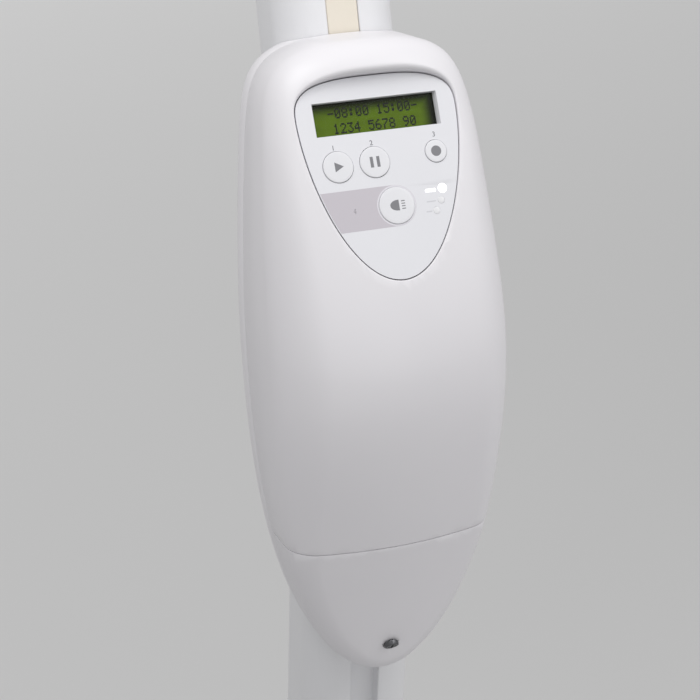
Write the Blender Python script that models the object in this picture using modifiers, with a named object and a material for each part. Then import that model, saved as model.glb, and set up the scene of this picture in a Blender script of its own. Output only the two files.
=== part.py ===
# Teeth whitening lamp: a console on a bowed mast, a wheeled base, a folding arm and a lamp head.
# Metres, +Z up, the front faces -Y, the origin is on the floor under the middle of the lamp.
# The console's own frame has its origin in the middle of the mast's bow: x to the right,
# -y forward, z up. Forward distances in the comments and names count along -y.
import math

import bmesh
import bpy
from mathutils import Matrix, Vector

PART = "teeth_whitening_lamp"
FLAT_ANGLE = math.radians(32)  # facets that meet at less than this are shaded smooth

# Fits
GAP = 0.0003  # between pieces that touch
SEAM = 0.0004  # between two mouldings of one housing
RUNNING_GAP = 0.0004  # round a shaft or pin that turns
OVERRUN = 0.02  # how far a cutter runs past what it cuts
POINT_MERGE = 0.00001  # points of one drawing that lie this close become one

# Console housing, in the console's frame
CONSOLE_HEIGHT = 1.0  # floor to the middle of the bow
CONSOLE_LEAN = math.radians(7)
HOUSING_HALF_WIDTH = 0.060
HOUSING_WIDEST = -0.035  # height where the outline is widest
HOUSING_TOP = 0.115
HOUSING_BOTTOM = -0.219
SHOULDER_SHARE = 0.2  # how much narrower the outline is at the top
HOUSING_WALL = 0.003
PARTING = 0.020  # forward distance of the plane between front and rear mouldings
FRONT_REACH = 0.0935  # forward distance of the front at its fullest height
FRONT_FULLEST = -0.038
FRONT_SOFTNESS = 0.045
FRONT_FALL_SHARE = 0.383
FRONT_TILT_SHARE = 0.041
FRONT_CROWN = 0.013  # how far the front falls back from the middle to its sides
EDGE_ROUND = 0.022
EDGE_ROUND_ENDS = 0.012
EDGE_LAND = 0.002  # straight wall left between the parting plane and the rounding
REAR_DEPTH = 0.027  # from the parting plane to the back of the rear moulding
REAR_ROUND = 0.020
CAP_SEAM_HEIGHT = -0.133
SCREW_HEIGHT = -0.2005
SCREW_FORWARD = 0.0435
SCREW_TILT = math.radians(48)
SCREW_HEAD_RADIUS = 0.0038
SCREW_HEAD_HEIGHT = 0.0024
SCREW_SHANK_RADIUS = 0.0016
SCREW_SHANK_LENGTH = 0.009
SCREW_RECESS_RADIUS = 0.0046
SCREW_RECESS_DEPTH = 0.0042
SCREW_BOSS_DEPTH = 0.009
SCREW_SLOT = 0.0009

# Control panel, in its own frame: origin in the middle of the window, z out of the panel
PANEL_TILT = math.radians(20.5)
PANEL_FORWARD = 0.060
PANEL_HEIGHT = 0.0815
PANEL_HALF_WIDTH = 0.0392
PANEL_RISE = 0.0183  # from the window's middle to the upper edge
PANEL_DROP = 0.0778  # from the window's middle to the tip
PANEL_THICKNESS = 0.0030
PANEL_FIT = 0.0006
WELL_WALL = 0.0024
WELL_LEDGE = 0.0035
WINDOW_WIDTH = 0.0615
WINDOW_HEIGHT = 0.0157
WINDOW_RECESS = 0.0015  # window's face below the panel's
WINDOW_THICKNESS = 0.0012
MODULE_WIDTH = 0.0632
MODULE_HEIGHT = 0.0190
MODULE_DEPTH = 0.0065
KEY_SHARES = {  # middle of each key: shares of the panel's half width and of its drop
    "key_start": (-0.587, 0.289),
    "key_pause": (-0.128, 0.285),
    "key_stop": (0.656, 0.2635),
    "key_intensity": (0.0536, 0.559),
}
START_KEY_RADIUS = 0.0073
STOP_KEY_RADIUS = 0.0053
INTENSITY_KEY_RADIUS = 0.0087
KEY_RADII = {
    "key_start": START_KEY_RADIUS,
    "key_pause": START_KEY_RADIUS,
    "key_stop": STOP_KEY_RADIUS,
    "key_intensity": INTENSITY_KEY_RADIUS,
}
KEY_SIDES = 20
KEY_STAND = 0.0006  # how far a key stands above the panel
KEY_ROUND = 0.0004
KEY_FLANGE = 0.0009  # how far the collar behind the panel is wider than the key
KEY_FLANGE_THICKNESS = 0.0010
KEY_TRAVEL = 0.0010
KEY_FIT = 0.0003
INDICATOR_SHARES = {
    "indicator_high": (0.658, 0.490),
    "indicator_mid": (0.620, 0.560),
    "indicator_low": (0.541, 0.6195),
}
INDICATOR_RADIUS = 0.0017
INDICATOR_STAND = 0.0002
BOARD_THICKNESS = 0.0016
BOARD_MARGIN = 0.0055  # key board outline inside the panel outline
BOARD_TOP_DROP = 0.0125  # key board starts this far below the window's middle
BOARD_FOOT_DROP = 0.0600
SWITCH_RADIUS = 0.0030

# Mast, a bowed extrusion
MAST_WIDTH = 0.0610
MAST_DEPTH = 0.0580
MAST_ROUND = 0.0200
MAST_WALL = 0.0030
GROOVE_WIDTH = 0.0160
GROOVE_DEPTH = 0.0080
BOW_RADIUS = 0.863  # of the front face
BOW_ANGLE = math.radians(14)
MAST_FRONT = 0.028  # forward distance of the front face in the middle of the bow
MAST_TOP_RUN = 0.060
TRIM_RECESS = 0.0005
TRIM_THICKNESS = 0.0060
TRIM_START_ANGLE = math.radians(6)

# Console internals, in the console's frame
BRACKET_WIDTH = 0.050
BRACKET_SHEET = 0.0025
BRACKET_TOP = 0.066
BRACKET_FOOT = -0.118
BRACKET_FLANGE = 0.012
BRACKET_SLOT_WIDTH = 0.008
BRACKET_SLOT_LENGTH = 0.024
BRACKET_SLOT_PITCH = 0.045
SUPPLY_WIDTH = 0.042
SUPPLY_HEIGHT = 0.082
SUPPLY_DEPTH = 0.026
SUPPLY_FOOT = -0.112
MAIN_BOARD_WIDTH = 0.044
MAIN_BOARD_HEIGHT = 0.072
MAIN_BOARD_FOOT = -0.022
STANDOFF_RADIUS = 0.0028
STANDOFF_LENGTH = 0.0050
STANDOFF_INSET = 0.0060

# Base: a five-leg star on castors; heights are above the floor
LEG_COUNT = 5
LEG_REACH = 0.270  # hub axis to castor axis
LEG_ROOT_WIDTH = 0.056
LEG_MIDDLE_WIDTH = 0.046
LEG_END_WIDTH = 0.034
LEG_MIDDLE_TOP = 0.100
LEG_END_TOP = 0.086
LEG_ROUND = 0.003
LEG_EDGE_SHARE = 0.25
HUB_RADIUS = 0.060
HUB_LOW = 0.072
HUB_TOP = 0.108
SOCKET_RADIUS = 0.019
STEM_RADIUS = 0.0055
STEM_LENGTH = 0.020
CASTOR_TRAIL = 0.020
WHEEL_RADIUS = 0.025
HOOD_RADIUS = 0.0275
HOOD_WALL = 0.0025
HOOD_WIDTH = 0.046
HOOD_START = math.radians(25)  # the hood's outer edge, up from the trail direction
HOOD_END = math.radians(150)
HOOD_TOP = 0.060
TOP_RADIUS = 0.0135
TOP_HEIGHT = 0.010
WEB_WIDTH = 0.010
AXLE_BOSS = 0.008
AXLE_RADIUS = 0.004
TREAD_EDGE = 0.0015
PEDAL_THICKNESS = 0.0022
PEDAL_LENGTH = 0.014
FOOT_RADIUS = 0.052
FOOT_FLANGE = 0.009
FOOT_WALL = 0.006
FOOT_HEIGHT = 0.050
COVER_WIDTH = 0.168
COVER_DEPTH = 0.150
COVER_ROUND = 0.040
COVER_SHOULDER = 0.158
COVER_EDGE = 0.026
COVER_FIT = 0.0006  # between the base cover and the mast

# Power entry in the base cover's rear wall
INLET_HEIGHT = 0.133
INLET_BODY_WIDTH = 0.058
INLET_BODY_HEIGHT = 0.0265
INLET_BODY_DEPTH = 0.022
INLET_FLANGE = 0.003  # how far the flange reaches past the body
INLET_FLANGE_THICKNESS = 0.0022
SOCKET_WIDTH = 0.0235
SOCKET_HEIGHT = 0.0165
SOCKET_DEPTH = 0.016
SOCKET_PLACE = 0.004
PIN_WIDTH = 0.0020
PIN_HEIGHT = 0.0040
PIN_PITCH = 0.0070
PIN_RISE = 0.0020
FUSE_PLACE = 0.0225
FUSE_WIDTH = 0.0075
FUSE_HEIGHT = 0.0220
FUSE_LENGTH = 0.016
FUSE_STAND = 0.0012
ROCKER_PLACE = -0.0180
ROCKER_WIDTH = 0.0130
ROCKER_HEIGHT = 0.0200
ROCKER_DEPTH = 0.0100
ROCKER_STAND = 0.0022
ROCKER_TILT = math.radians(8)

# Head of the mast and the arms; heights are above the floor
SPINDLE_FOOT = 0.0200  # from the mast's top end up to the spindle's shoulder
SPINDLE_SHOULDER_RADIUS = 0.034
SPINDLE_RADIUS = 0.012
SPINDLE_LENGTH = 0.042
CAP_WALL = 0.0040
ARM_HUB_RADIUS = 0.031
ARM_HUB_HEIGHT = 0.044
ELBOW_RADIUS = 0.025
ELBOW_RIGHT = -0.170
ELBOW_BACK = 0.170
ARM_WIDTH = 0.044
ARM_THICKNESS = 0.032
ARM_WAIST_SHARE = 0.82
PIN_RADIUS = 0.010
PIN_LENGTH = 0.036
BRACKET_FOOT_THICKNESS = 0.010
CHEEK_GAP = 0.0205  # between the cheeks that hold the arm's eyes
CHEEK_THICKNESS = 0.005
CHEEK_RADIUS = 0.013
PIVOT_RISE = 0.028  # elbow bracket's foot to the lower pivot
PIVOT_PITCH = 0.034  # between the parallelogram's two pivots
SPRING_ARM_LENGTH = 0.380
PIVOT_PIN_RADIUS = 0.0045
UPPER_EYE_RADIUS = 0.012
LOWER_EYE_RADIUS = 0.0085
LINK_WIDTH = 0.010
LINK_HEIGHT = 0.009
CHANNEL_WIDTH = 0.044
CHANNEL_WALL = 0.0025
CHANNEL_RISE = 0.019  # pivot line to the channel's top
CHANNEL_DROP = 0.018
CHANNEL_START = 0.036  # pivot to the channel's end
CHANNEL_ROUND = 0.010
SPRING_RADIUS = 0.008
SPRING_LENGTH = 0.210

# Lamp head, in its own frame: origin on the tilt axis, -y is the way the light goes
YAW_STEM_RADIUS = 0.010
YAW_STEM_LENGTH = 0.036
YAW_BOSS_RADIUS = 0.018
YAW_BOSS_HEIGHT = 0.042
YAW_OFFSET = 0.032  # outer pivots to the yaw axis
YOKE_DROP = 0.092  # yoke's crown to the tilt axis
YOKE_WIDTH = 0.026
YOKE_THICKNESS = 0.006
YOKE_SPREAD = 0.0560  # tilt axis centre to the inside of a yoke arm
YOKE_CORNER = 0.022
TRUNNION_RADIUS = 0.006
TRUNNION_LENGTH = 0.006
TRUNNION_PAD = 0.012
HEAD_RADIUS = 0.0480
HEAD_PARTING = 0.018  # forward of the tilt axis
HEAD_FRONT_LENGTH = 0.082  # tilt axis to the nose
HEAD_REAR_LENGTH = 0.078
NOSE_RADIUS = 0.0245
NOSE_COLLAR = 0.010
HEAD_WALL = 0.0025
LENS_THICKNESS = 0.005
LENS_RECESS = 0.0015
RING_THICKNESS = 0.004
RING_WIDTH = 0.009
SINK_LENGTH = 0.030
SINK_CLEARANCE = 0.0016  # fin tips to the rear shell
SINK_CORE_RADIUS = 0.014
SINK_FINS = 8
FIN_THICKNESS = 0.0022
LIGHT_BOARD_RADIUS = 0.030
EMITTER_SIZE = 0.005
EMITTER_PITCH = 0.011
FAN_FRAME_SIZE = 0.056
FAN_FRAME_DEPTH = 0.015
FAN_FRAME_ROUND = 0.004
FAN_BORE_RADIUS = 0.0258
FAN_ROTOR_RADIUS = 0.0248
FAN_HUB_RADIUS = 0.010
FAN_HUB_LENGTH = 0.009
FAN_BLADES = 7
FAN_BLADE_THICKNESS = 0.0012
FAN_BLADE_PITCH = math.radians(35)
FAN_SPINDLE_RADIUS = 0.002
FAN_STRUT = 0.0025
VENT_COUNT = 6
VENT_WIDTH = 0.0035
VENT_INNER = 0.010
VENT_OUTER = 0.028
HANDLE_RADIUS = 0.0055
HANDLE_DROP = 0.034  # below the head's shell
HANDLE_FRONT = -0.006
HANDLE_REAR = 0.044
HANDLE_PAD = 0.009
HANDLE_PAD_THICKNESS = 0.004
OPEN_PIVOT_GAP = 0.0012  # the parallelogram's last pivot is left open

FINISHES = {  # colour, roughness, metallic
    "white_enamel": ((0.72, 0.71, 0.73), 0.32, 0.0),
    "white_moulding": ((0.74, 0.73, 0.75), 0.42, 0.0),
    "panel_film": ((0.76, 0.76, 0.78), 0.48, 0.0),
    "key_film": ((0.79, 0.79, 0.80), 0.45, 0.0),
    "window_clear": ((0.07, 0.10, 0.02), 0.12, 0.0),
    "display_green": ((0.10, 0.14, 0.02), 0.35, 0.0),
    "cream_strip": ((0.74, 0.70, 0.62), 0.50, 0.0),
    "aluminium_painted": ((0.70, 0.69, 0.71), 0.38, 0.0),
    "aluminium_bare": ((0.62, 0.63, 0.65), 0.35, 1.0),
    "steel_zinc": ((0.56, 0.57, 0.58), 0.38, 1.0),
    "steel_dark": ((0.30, 0.30, 0.31), 0.40, 1.0),
    "board_green": ((0.03, 0.16, 0.07), 0.55, 0.0),
    "black_moulding": ((0.03, 0.03, 0.03), 0.50, 0.0),
    "grey_moulding": ((0.33, 0.34, 0.36), 0.50, 0.0),
    "grey_rubber": ((0.16, 0.16, 0.17), 0.75, 0.0),
    "lamp_amber": ((0.80, 0.72, 0.50), 0.20, 0.0),
    "lamp_white": ((0.92, 0.93, 0.95), 0.20, 0.0),
    "lens_blue": ((0.20, 0.42, 0.72), 0.08, 0.0),
}


# Scene helpers
def clear_scene():
    for item in list(bpy.data.objects):
        bpy.data.objects.remove(item, do_unlink=True)


def make_collection(name):
    made = bpy.data.collections.new(name)
    bpy.context.scene.collection.children.link(made)
    return made


clear_scene()
PIECES = make_collection(PART)
TOOLS = make_collection("cutters")


def finish_material(name, finish):
    colour, roughness, metallic = FINISHES[finish]
    made = bpy.data.materials.new(f"{name}_{finish}")
    made.use_nodes = True
    shader = made.node_tree.nodes["Principled BSDF"]
    shader.inputs["Base Color"].default_value = (*colour, 1.0)
    shader.inputs["Roughness"].default_value = roughness
    shader.inputs["Metallic"].default_value = metallic
    made.diffuse_color = (*colour, 1.0)
    return made


def axis_frame(name, parent=None, place=None):
    """An empty that carries pieces; a joint's empty lies on its axis."""
    made = bpy.data.objects.new(name, None)
    made.empty_display_size = STANDOFF_LENGTH
    made.parent = parent
    made.matrix_local = place or Matrix()
    PIECES.objects.link(made)
    return made


def piece(name, tool, finish, parent):
    """Turns a tool object into a finished piece of the lamp."""
    tool.name = name
    tool.data.name = name
    tool.data.materials.clear()
    tool.data.materials.append(finish_material(name, finish))
    TOOLS.objects.unlink(tool)
    PIECES.objects.link(tool)
    tool.hide_render = False
    tool.display_type = "TEXTURED"
    tool.parent = parent
    for step in tool.modifiers:
        if step.type == "BOOLEAN":
            step.object.parent = parent
    tool.data.shade_smooth()
    tool.data.set_sharp_from_angle(angle=FLAT_ANGLE)
    return tool


def tool_object(name, mesh, place=None):
    made = bpy.data.objects.new(name, mesh)
    made.hide_render = True
    made.display_type = "WIRE"
    if place is not None:
        mesh.transform(place)
    TOOLS.objects.link(made)
    return made


def from_bmesh(name, shape, place=None):
    mesh = bpy.data.meshes.new(name)
    bmesh.ops.recalc_face_normals(shape, faces=shape.faces)
    shape.to_mesh(mesh)
    shape.free()
    return tool_object(name, mesh, place)


def freeze(item):
    """Replaces an object's mesh by what its modifiers make of it."""
    graph = bpy.context.evaluated_depsgraph_get()
    graph.update()
    mesh = bpy.data.meshes.new_from_object(item.evaluated_get(graph))
    old = item.data
    item.modifiers.clear()
    item.data = mesh
    if old.users == 0 and isinstance(old, bpy.types.Mesh):
        bpy.data.meshes.remove(old)
    return item


def boolean(item, tool, operation):
    step = item.modifiers.new(f"{operation.lower()}_{tool.name}", "BOOLEAN")
    step.operation = operation
    step.object = tool
    return item


def cut(item, *tools):
    for tool in tools:
        boolean(item, tool, "DIFFERENCE")
    return item


def join(item, *tools):
    for tool in tools:
        boolean(item, tool, "UNION")
    return item


def keep_inside(item, tool):
    return boolean(item, tool, "INTERSECT")


def merged(item):
    """Applies the Booleans at once and takes their tools away."""
    tools = [step.object for step in item.modifiers if step.type == "BOOLEAN"]
    freeze(item)
    for tool in tools:
        if tool.users_collection and TOOLS in tool.users_collection:
            bpy.data.objects.remove(tool, do_unlink=True)
    return item


def rounded(item, width, segments=2):
    step = item.modifiers.new("rounded_edges", "BEVEL")
    step.width = width
    step.segments = segments
    step.limit_method = "ANGLE"
    step.angle_limit = math.radians(40)
    return item


def shelled(item, wall):
    """Gives an open surface its wall, which grows inwards."""
    step = item.modifiers.new("wall", "SOLIDIFY")
    step.thickness = wall
    step.offset = -1.0
    step.use_even_offset = True
    return item


# Shapes
def block(name, low, high):
    shape = bmesh.new()
    bmesh.ops.create_cube(shape, size=1.0)
    low, high = Vector(low), Vector(high)
    size = high - low
    place = Matrix.Translation((low + high) / 2) @ Matrix.Diagonal((*size, 1.0))
    return from_bmesh(name, shape, place)


def rod(name, radius, start, end, sides=24, end_radius=None):
    """A cylinder or cone between two points."""
    start, end = Vector(start), Vector(end)
    along = end - start
    shape = bmesh.new()
    bmesh.ops.create_cone(
        shape,
        cap_ends=True,
        segments=sides,
        radius1=radius,
        radius2=radius if end_radius is None else end_radius,
        depth=along.length,
    )
    turn = Vector((0, 0, 1)).rotation_difference(along).to_matrix().to_4x4()
    return from_bmesh(name, shape, Matrix.Translation((start + end) / 2) @ turn)


def turned(name, profile, steps=32, place=None):
    """A profile of (radius, height) points turned round Z; it runs from the top down."""
    shape = bmesh.new()
    points = [shape.verts.new((radius, 0, height)) for radius, height in profile]
    for first, second in zip(points, points[1:]):
        shape.edges.new((first, second))
    mesh = bpy.data.meshes.new(name)
    shape.to_mesh(mesh)
    shape.free()
    made = tool_object(name, mesh)
    step = made.modifiers.new("turned", "SCREW")
    step.steps = steps
    step.render_steps = steps
    step.use_merge_vertices = True
    step.merge_threshold = POINT_MERGE
    step.use_smooth_shade = False
    freeze(made)
    if place is not None:
        made.data.transform(place)
    return made


def plate(name, outlines, low, high, place=None):
    """A flat outline with its holes, from one height to another."""
    curve = bpy.data.curves.new(name, "CURVE")
    curve.dimensions = "2D"
    curve.fill_mode = "BOTH"
    curve.extrude = (high - low) / 2
    for outline in outlines:
        spline = curve.splines.new("POLY")
        spline.points.add(len(outline) - 1)
        for point, (x, y) in zip(spline.points, outline):
            point.co = (x, y, 0, 1)
        spline.use_cyclic_u = True
    holder = bpy.data.objects.new(name, curve)
    TOOLS.objects.link(holder)
    graph = bpy.context.evaluated_depsgraph_get()
    graph.update()
    mesh = bpy.data.meshes.new_from_object(holder.evaluated_get(graph))
    bpy.data.objects.remove(holder, do_unlink=True)
    shape = bmesh.new()
    shape.from_mesh(mesh)
    bpy.data.meshes.remove(mesh)
    bmesh.ops.remove_doubles(shape, verts=shape.verts, dist=POINT_MERGE)
    bmesh.ops.translate(shape, verts=shape.verts, vec=(0, 0, (high + low) / 2))
    return from_bmesh(name, shape, place)


def tube(name, points, radius, resolution=2, place=None):
    """A round bar along a smooth curve through a few points."""
    curve = bpy.data.curves.new(name, "CURVE")
    curve.dimensions = "3D"
    curve.bevel_depth = radius
    curve.bevel_resolution = resolution
    curve.use_fill_caps = True
    curve.resolution_u = 3
    spline = curve.splines.new("BEZIER")
    spline.bezier_points.add(len(points) - 1)
    for point, place_of_point in zip(spline.bezier_points, points):
        point.co = place_of_point
        point.handle_left_type = "AUTO"
        point.handle_right_type = "AUTO"
    holder = bpy.data.objects.new(name, curve)
    TOOLS.objects.link(holder)
    graph = bpy.context.evaluated_depsgraph_get()
    graph.update()
    mesh = bpy.data.meshes.new_from_object(holder.evaluated_get(graph))
    bpy.data.objects.remove(holder, do_unlink=True)
    shape = bmesh.new()
    shape.from_mesh(mesh)
    bpy.data.meshes.remove(mesh)
    bmesh.ops.remove_doubles(shape, verts=shape.verts, dist=POINT_MERGE)
    return from_bmesh(name, shape, place)


def loft(name, rings, start_cap=True, end_cap=True, place=None):
    """Skins rings that have the same number of points."""
    shape = bmesh.new()
    loops = [[shape.verts.new(point) for point in ring] for ring in rings]
    for first, second in zip(loops, loops[1:]):
        for index, corner in enumerate(first):
            after = (index + 1) % len(first)
            shape.faces.new((corner, first[after], second[after], second[index]))
    if start_cap:
        shape.faces.new(loops[0][::-1])
    if end_cap:
        shape.faces.new(loops[-1])
    return from_bmesh(name, shape, place)


def circle(radius, sides=24, middle=(0, 0)):
    turns = [math.tau * index / sides for index in range(sides)]
    return [(middle[0] + radius * math.cos(a), middle[1] + radius * math.sin(a)) for a in turns]


def rounded_rectangle(width, height, radius, corner_steps=4, middle=(0, 0)):
    points = []
    for corner, (side_x, side_y) in enumerate([(1, 1), (-1, 1), (-1, -1), (1, -1)]):
        centre_x = middle[0] + side_x * (width / 2 - radius)
        centre_y = middle[1] + side_y * (height / 2 - radius)
        for step in range(corner_steps + 1):
            turn = math.pi / 2 * (corner + step / corner_steps)
            points.append((centre_x + radius * math.cos(turn), centre_y + radius * math.sin(turn)))
    return points


def wrapped_loft(name, rings, place=None):
    """Skins rings all the way round and back to the first, which leaves a bore."""
    shape = bmesh.new()
    loops = [[shape.verts.new(point) for point in ring] for ring in rings]
    for first, second in zip(loops, loops[1:] + loops[:1]):
        for index, corner in enumerate(first):
            after = (index + 1) % len(first)
            shape.faces.new((corner, first[after], second[after], second[index]))
    return from_bmesh(name, shape, place)


def mirrored_loft(name, rings, start_cap):
    """Skins rings that are alike left and right; strips across close the last one."""
    shape = bmesh.new()
    loops = [[shape.verts.new(point) for point in ring] for ring in rings]
    for first, second in zip(loops, loops[1:]):
        for index, corner in enumerate(first):
            after = (index + 1) % len(first)
            shape.faces.new((corner, first[after], second[after], second[index]))
    for last in [loops[-1]] + ([loops[0][::-1]] if start_cap else []):
        count = len(last)
        shift = 0 if last is loops[-1] else 1
        for index in range(count // 2):
            near = [(index - shift) % count, (index + 1 - shift) % count]
            far = [(count - index - 1 - shift) % count, (count - index - shift) % count]
            corners = [last[near[0]], last[near[1]], last[far[0]], last[far[1]]]
            shape.faces.new(list(dict.fromkeys(corners)))
    return from_bmesh(name, shape)


# Console housing
def outline_half_width(height):
    if height > HOUSING_WIDEST:
        rise_share = (height - HOUSING_WIDEST) / (HOUSING_TOP - HOUSING_WIDEST)
        narrowing = 1 - SHOULDER_SHARE * rise_share**1.6
        return HOUSING_HALF_WIDTH * narrowing * max(0, 1 - rise_share**16) ** 0.4
    drop_share = (HOUSING_WIDEST - height) / (HOUSING_WIDEST - HOUSING_BOTTOM)
    return HOUSING_HALF_WIDTH * max(0, 1 - drop_share**2.5) ** 0.5


def housing_heights():
    """Heights down one side, close together where the outline turns fast."""
    rise = HOUSING_TOP - HOUSING_WIDEST
    drop = HOUSING_WIDEST - HOUSING_BOTTOM
    shoulder_share = 0.75
    shoulder_turn = math.asin(shoulder_share**8)
    corner_steps, side_steps, foot_steps = 7, 3, 10
    heights = []
    for step in range(corner_steps + 1):
        turn = math.pi / 2 + (shoulder_turn - math.pi / 2) * step / corner_steps
        heights.append(HOUSING_WIDEST + rise * math.sin(turn) ** 0.125)
    for step in range(1, side_steps + 1):
        heights.append(HOUSING_WIDEST + rise * shoulder_share * (1 - step / side_steps))
    for step in range(1, foot_steps + 1):
        turn = math.pi / 2 * step / foot_steps
        heights.append(HOUSING_WIDEST - drop * math.sin(turn) ** 0.8)
    return heights


def housing_outline():
    """The front view's outline from the top middle, down the right side and up the left."""
    heights = housing_heights()
    right = [(outline_half_width(height), height) for height in heights[1:-1]]
    left = [(-x, height) for x, height in reversed(right)]
    return [(0, heights[0])] + right + [(0, heights[-1])] + left


def front_reach(x, height):
    """How far forward the housing's front lies."""
    away = height - FRONT_FULLEST
    fall = math.hypot(FRONT_SOFTNESS, away) - FRONT_SOFTNESS
    crown = FRONT_CROWN * (x / HOUSING_HALF_WIDTH) ** 2
    return FRONT_REACH - FRONT_FALL_SHARE * fall + FRONT_TILT_SHARE * away - crown


def drawn_in(x, height, inset):
    """A point of the outline moved towards the middle of the housing."""
    middle = (HOUSING_TOP + HOUSING_BOTTOM) / 2
    reach = (HOUSING_TOP - HOUSING_BOTTOM) / 2
    narrower = 1 - inset / HOUSING_HALF_WIDTH
    return x * narrower, middle + (height - middle) * (1 - inset / reach)


def edge_radius(x, height):
    away_share = (height - HOUSING_WIDEST) / (HOUSING_TOP - HOUSING_WIDEST)
    wanted = EDGE_ROUND_ENDS + (EDGE_ROUND - EDGE_ROUND_ENDS) * max(0, 1 - 2 * away_share**2)
    return min(wanted, front_reach(x, height) - PARTING - EDGE_LAND)


def front_rings():
    """Rings of the front mouldings, from the parting plane forward."""
    outline = housing_outline()
    rings = [[(x, -PARTING, height) for x, height in outline]]
    round_steps = 4
    for step in range(round_steps + 1):
        turn = math.pi / 2 * step / round_steps
        ring = []
        for x, height in outline:
            radius = edge_radius(x, height)
            inner_x, inner_z = drawn_in(x, height, radius * (1 - math.cos(turn)))
            forward = front_reach(inner_x, inner_z) - radius * (1 - math.sin(turn))
            ring.append((inner_x, -forward, inner_z))
        rings.append(ring)
    front_shares = (0.34, 0.68, 0.94)
    for share in front_shares:
        ring = []
        for x, height in outline:
            radius = edge_radius(x, height)
            inset = radius + (HOUSING_HALF_WIDTH - radius) * share
            inner_x, inner_z = drawn_in(x, height, inset)
            ring.append((inner_x, -front_reach(inner_x, inner_z), inner_z))
        rings.append(ring)
    return rings


def rear_rings():
    """Rings of the rear moulding, from the parting plane back."""
    outline = housing_outline()
    rings = [[(x, SEAM - PARTING, height) for x, height in outline]]
    round_steps = 4
    for step in range(round_steps + 1):
        turn = math.pi / 2 * step / round_steps
        back = REAR_DEPTH - PARTING - REAR_ROUND * (1 - math.sin(turn))
        ring = []
        for x, height in outline:
            inner_x, inner_z = drawn_in(x, height, REAR_ROUND * (1 - math.cos(turn)))
            ring.append((inner_x, back, inner_z))
        rings.append(ring)
    return rings


def half_space(name, above=None, below=None):
    """A block that holds the whole housing above or below a height."""
    reach = HOUSING_HALF_WIDTH + OVERRUN
    low = above if above is not None else HOUSING_BOTTOM - OVERRUN
    high = below if below is not None else HOUSING_TOP + OVERRUN
    return block(name, (-reach, -FRONT_REACH - OVERRUN, low), (reach, OVERRUN, high))


def panel_outline(offset=0.0):
    """The panel's inverted-egg outline, grown by an offset."""
    half_width = PANEL_HALF_WIDTH + offset
    drop = PANEL_DROP + offset
    rise = PANEL_RISE + offset
    lower_steps, upper_steps = 9, 6
    right = []
    for step in range(lower_steps + 1):
        turn = math.pi / 2 * (1 - step / lower_steps)
        right.append((half_width * math.cos(turn), -drop * math.sin(turn) ** (2 / 1.7)))
    for step in range(1, upper_steps + 1):
        turn = math.pi / 2 * step / upper_steps
        x = half_width * max(0, math.cos(turn)) ** (2 / 3)
        right.append((x, rise * math.sin(turn) ** (2 / 3)))
    right[0] = (0, -drop)
    right[-1] = (0, rise)
    return right + [(-x, y) for x, y in reversed(right[1:-1])]


def panel_half_width(drop):
    return PANEL_HALF_WIDTH * (1 - (drop / PANEL_DROP) ** 1.7) ** 0.5


def panel_point(shares):
    """A place on the panel from its shares of the half width and of the drop."""
    across_share, drop_share = shares
    return across_share * PANEL_HALF_WIDTH, -drop_share * PANEL_DROP


def panel_place():
    """From the panel's frame to the console's."""
    return Matrix.Translation((0, -PANEL_FORWARD, PANEL_HEIGHT)) @ Matrix.Rotation(
        math.pi / 2 - PANEL_TILT, 4, "X"
    )


def screw_place():
    """From the cap screw's frame to the console's: z points out of the recess."""
    return Matrix.Translation((0, -SCREW_FORWARD, SCREW_HEIGHT)) @ Matrix.Rotation(
        math.pi / 2 + SCREW_TILT, 4, "X"
    )


def make_front_cover(frame):
    cover = shelled(mirrored_loft("console_front_cover", front_rings(), False), HOUSING_WALL)
    cut(cover, half_space("below_seam", below=CAP_SEAM_HEIGHT + SEAM / 2))
    floor = -PANEL_THICKNESS - GAP
    ledge = floor - WELL_LEDGE
    place = panel_place()
    high = PANEL_DROP
    collar = plate("well_wall", [panel_outline(PANEL_FIT + WELL_WALL)], ledge, high, place)
    keep_inside(collar, mirrored_loft("housing_space", front_rings(), True))
    join(cover, merged(collar))
    well = plate("well", [panel_outline(PANEL_FIT)], floor, high + OVERRUN, place)
    opening = plate("well_opening", [panel_outline(-WELL_LEDGE)], ledge - OVERRUN, high, place)
    cut(cover, well, opening, mast_solid("mast_way_front", SEAM))
    return piece("console_front_cover", cover, "white_enamel", frame)


def make_lower_cap(frame):
    cap = shelled(mirrored_loft("console_lower_cap", front_rings(), False), HOUSING_WALL)
    cut(cap, half_space("above_seam", above=CAP_SEAM_HEIGHT - SEAM / 2))
    place = screw_place()
    boss_depth = SCREW_RECESS_DEPTH + SCREW_BOSS_DEPTH
    boss_radius = SCREW_RECESS_RADIUS + HOUSING_WALL / 2
    boss = rod("screw_boss", boss_radius, (0, 0, -boss_depth), (0, 0, OVERRUN))
    recess = rod("screw_recess", SCREW_RECESS_RADIUS, (0, 0, -SCREW_RECESS_DEPTH), (0, 0, OVERRUN))
    hole_radius = SCREW_SHANK_RADIUS + GAP
    hole = rod("screw_hole", hole_radius, (0, 0, -boss_depth - OVERRUN), (0, 0, 0), sides=12)
    for tool in (boss, recess, hole):
        tool.data.transform(place)
    keep_inside(boss, mirrored_loft("cap_space", front_rings(), True))
    join(cap, merged(boss))
    cut(cap, recess, hole)
    return piece("console_lower_cap", cap, "white_enamel", frame)


def make_rear_cover(frame):
    cover = shelled(mirrored_loft("console_rear_cover", rear_rings(), False), HOUSING_WALL)
    cut(cover, mast_solid("mast_way_rear", SEAM))
    return piece("console_rear_cover", cover, "white_enamel", frame)


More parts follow.
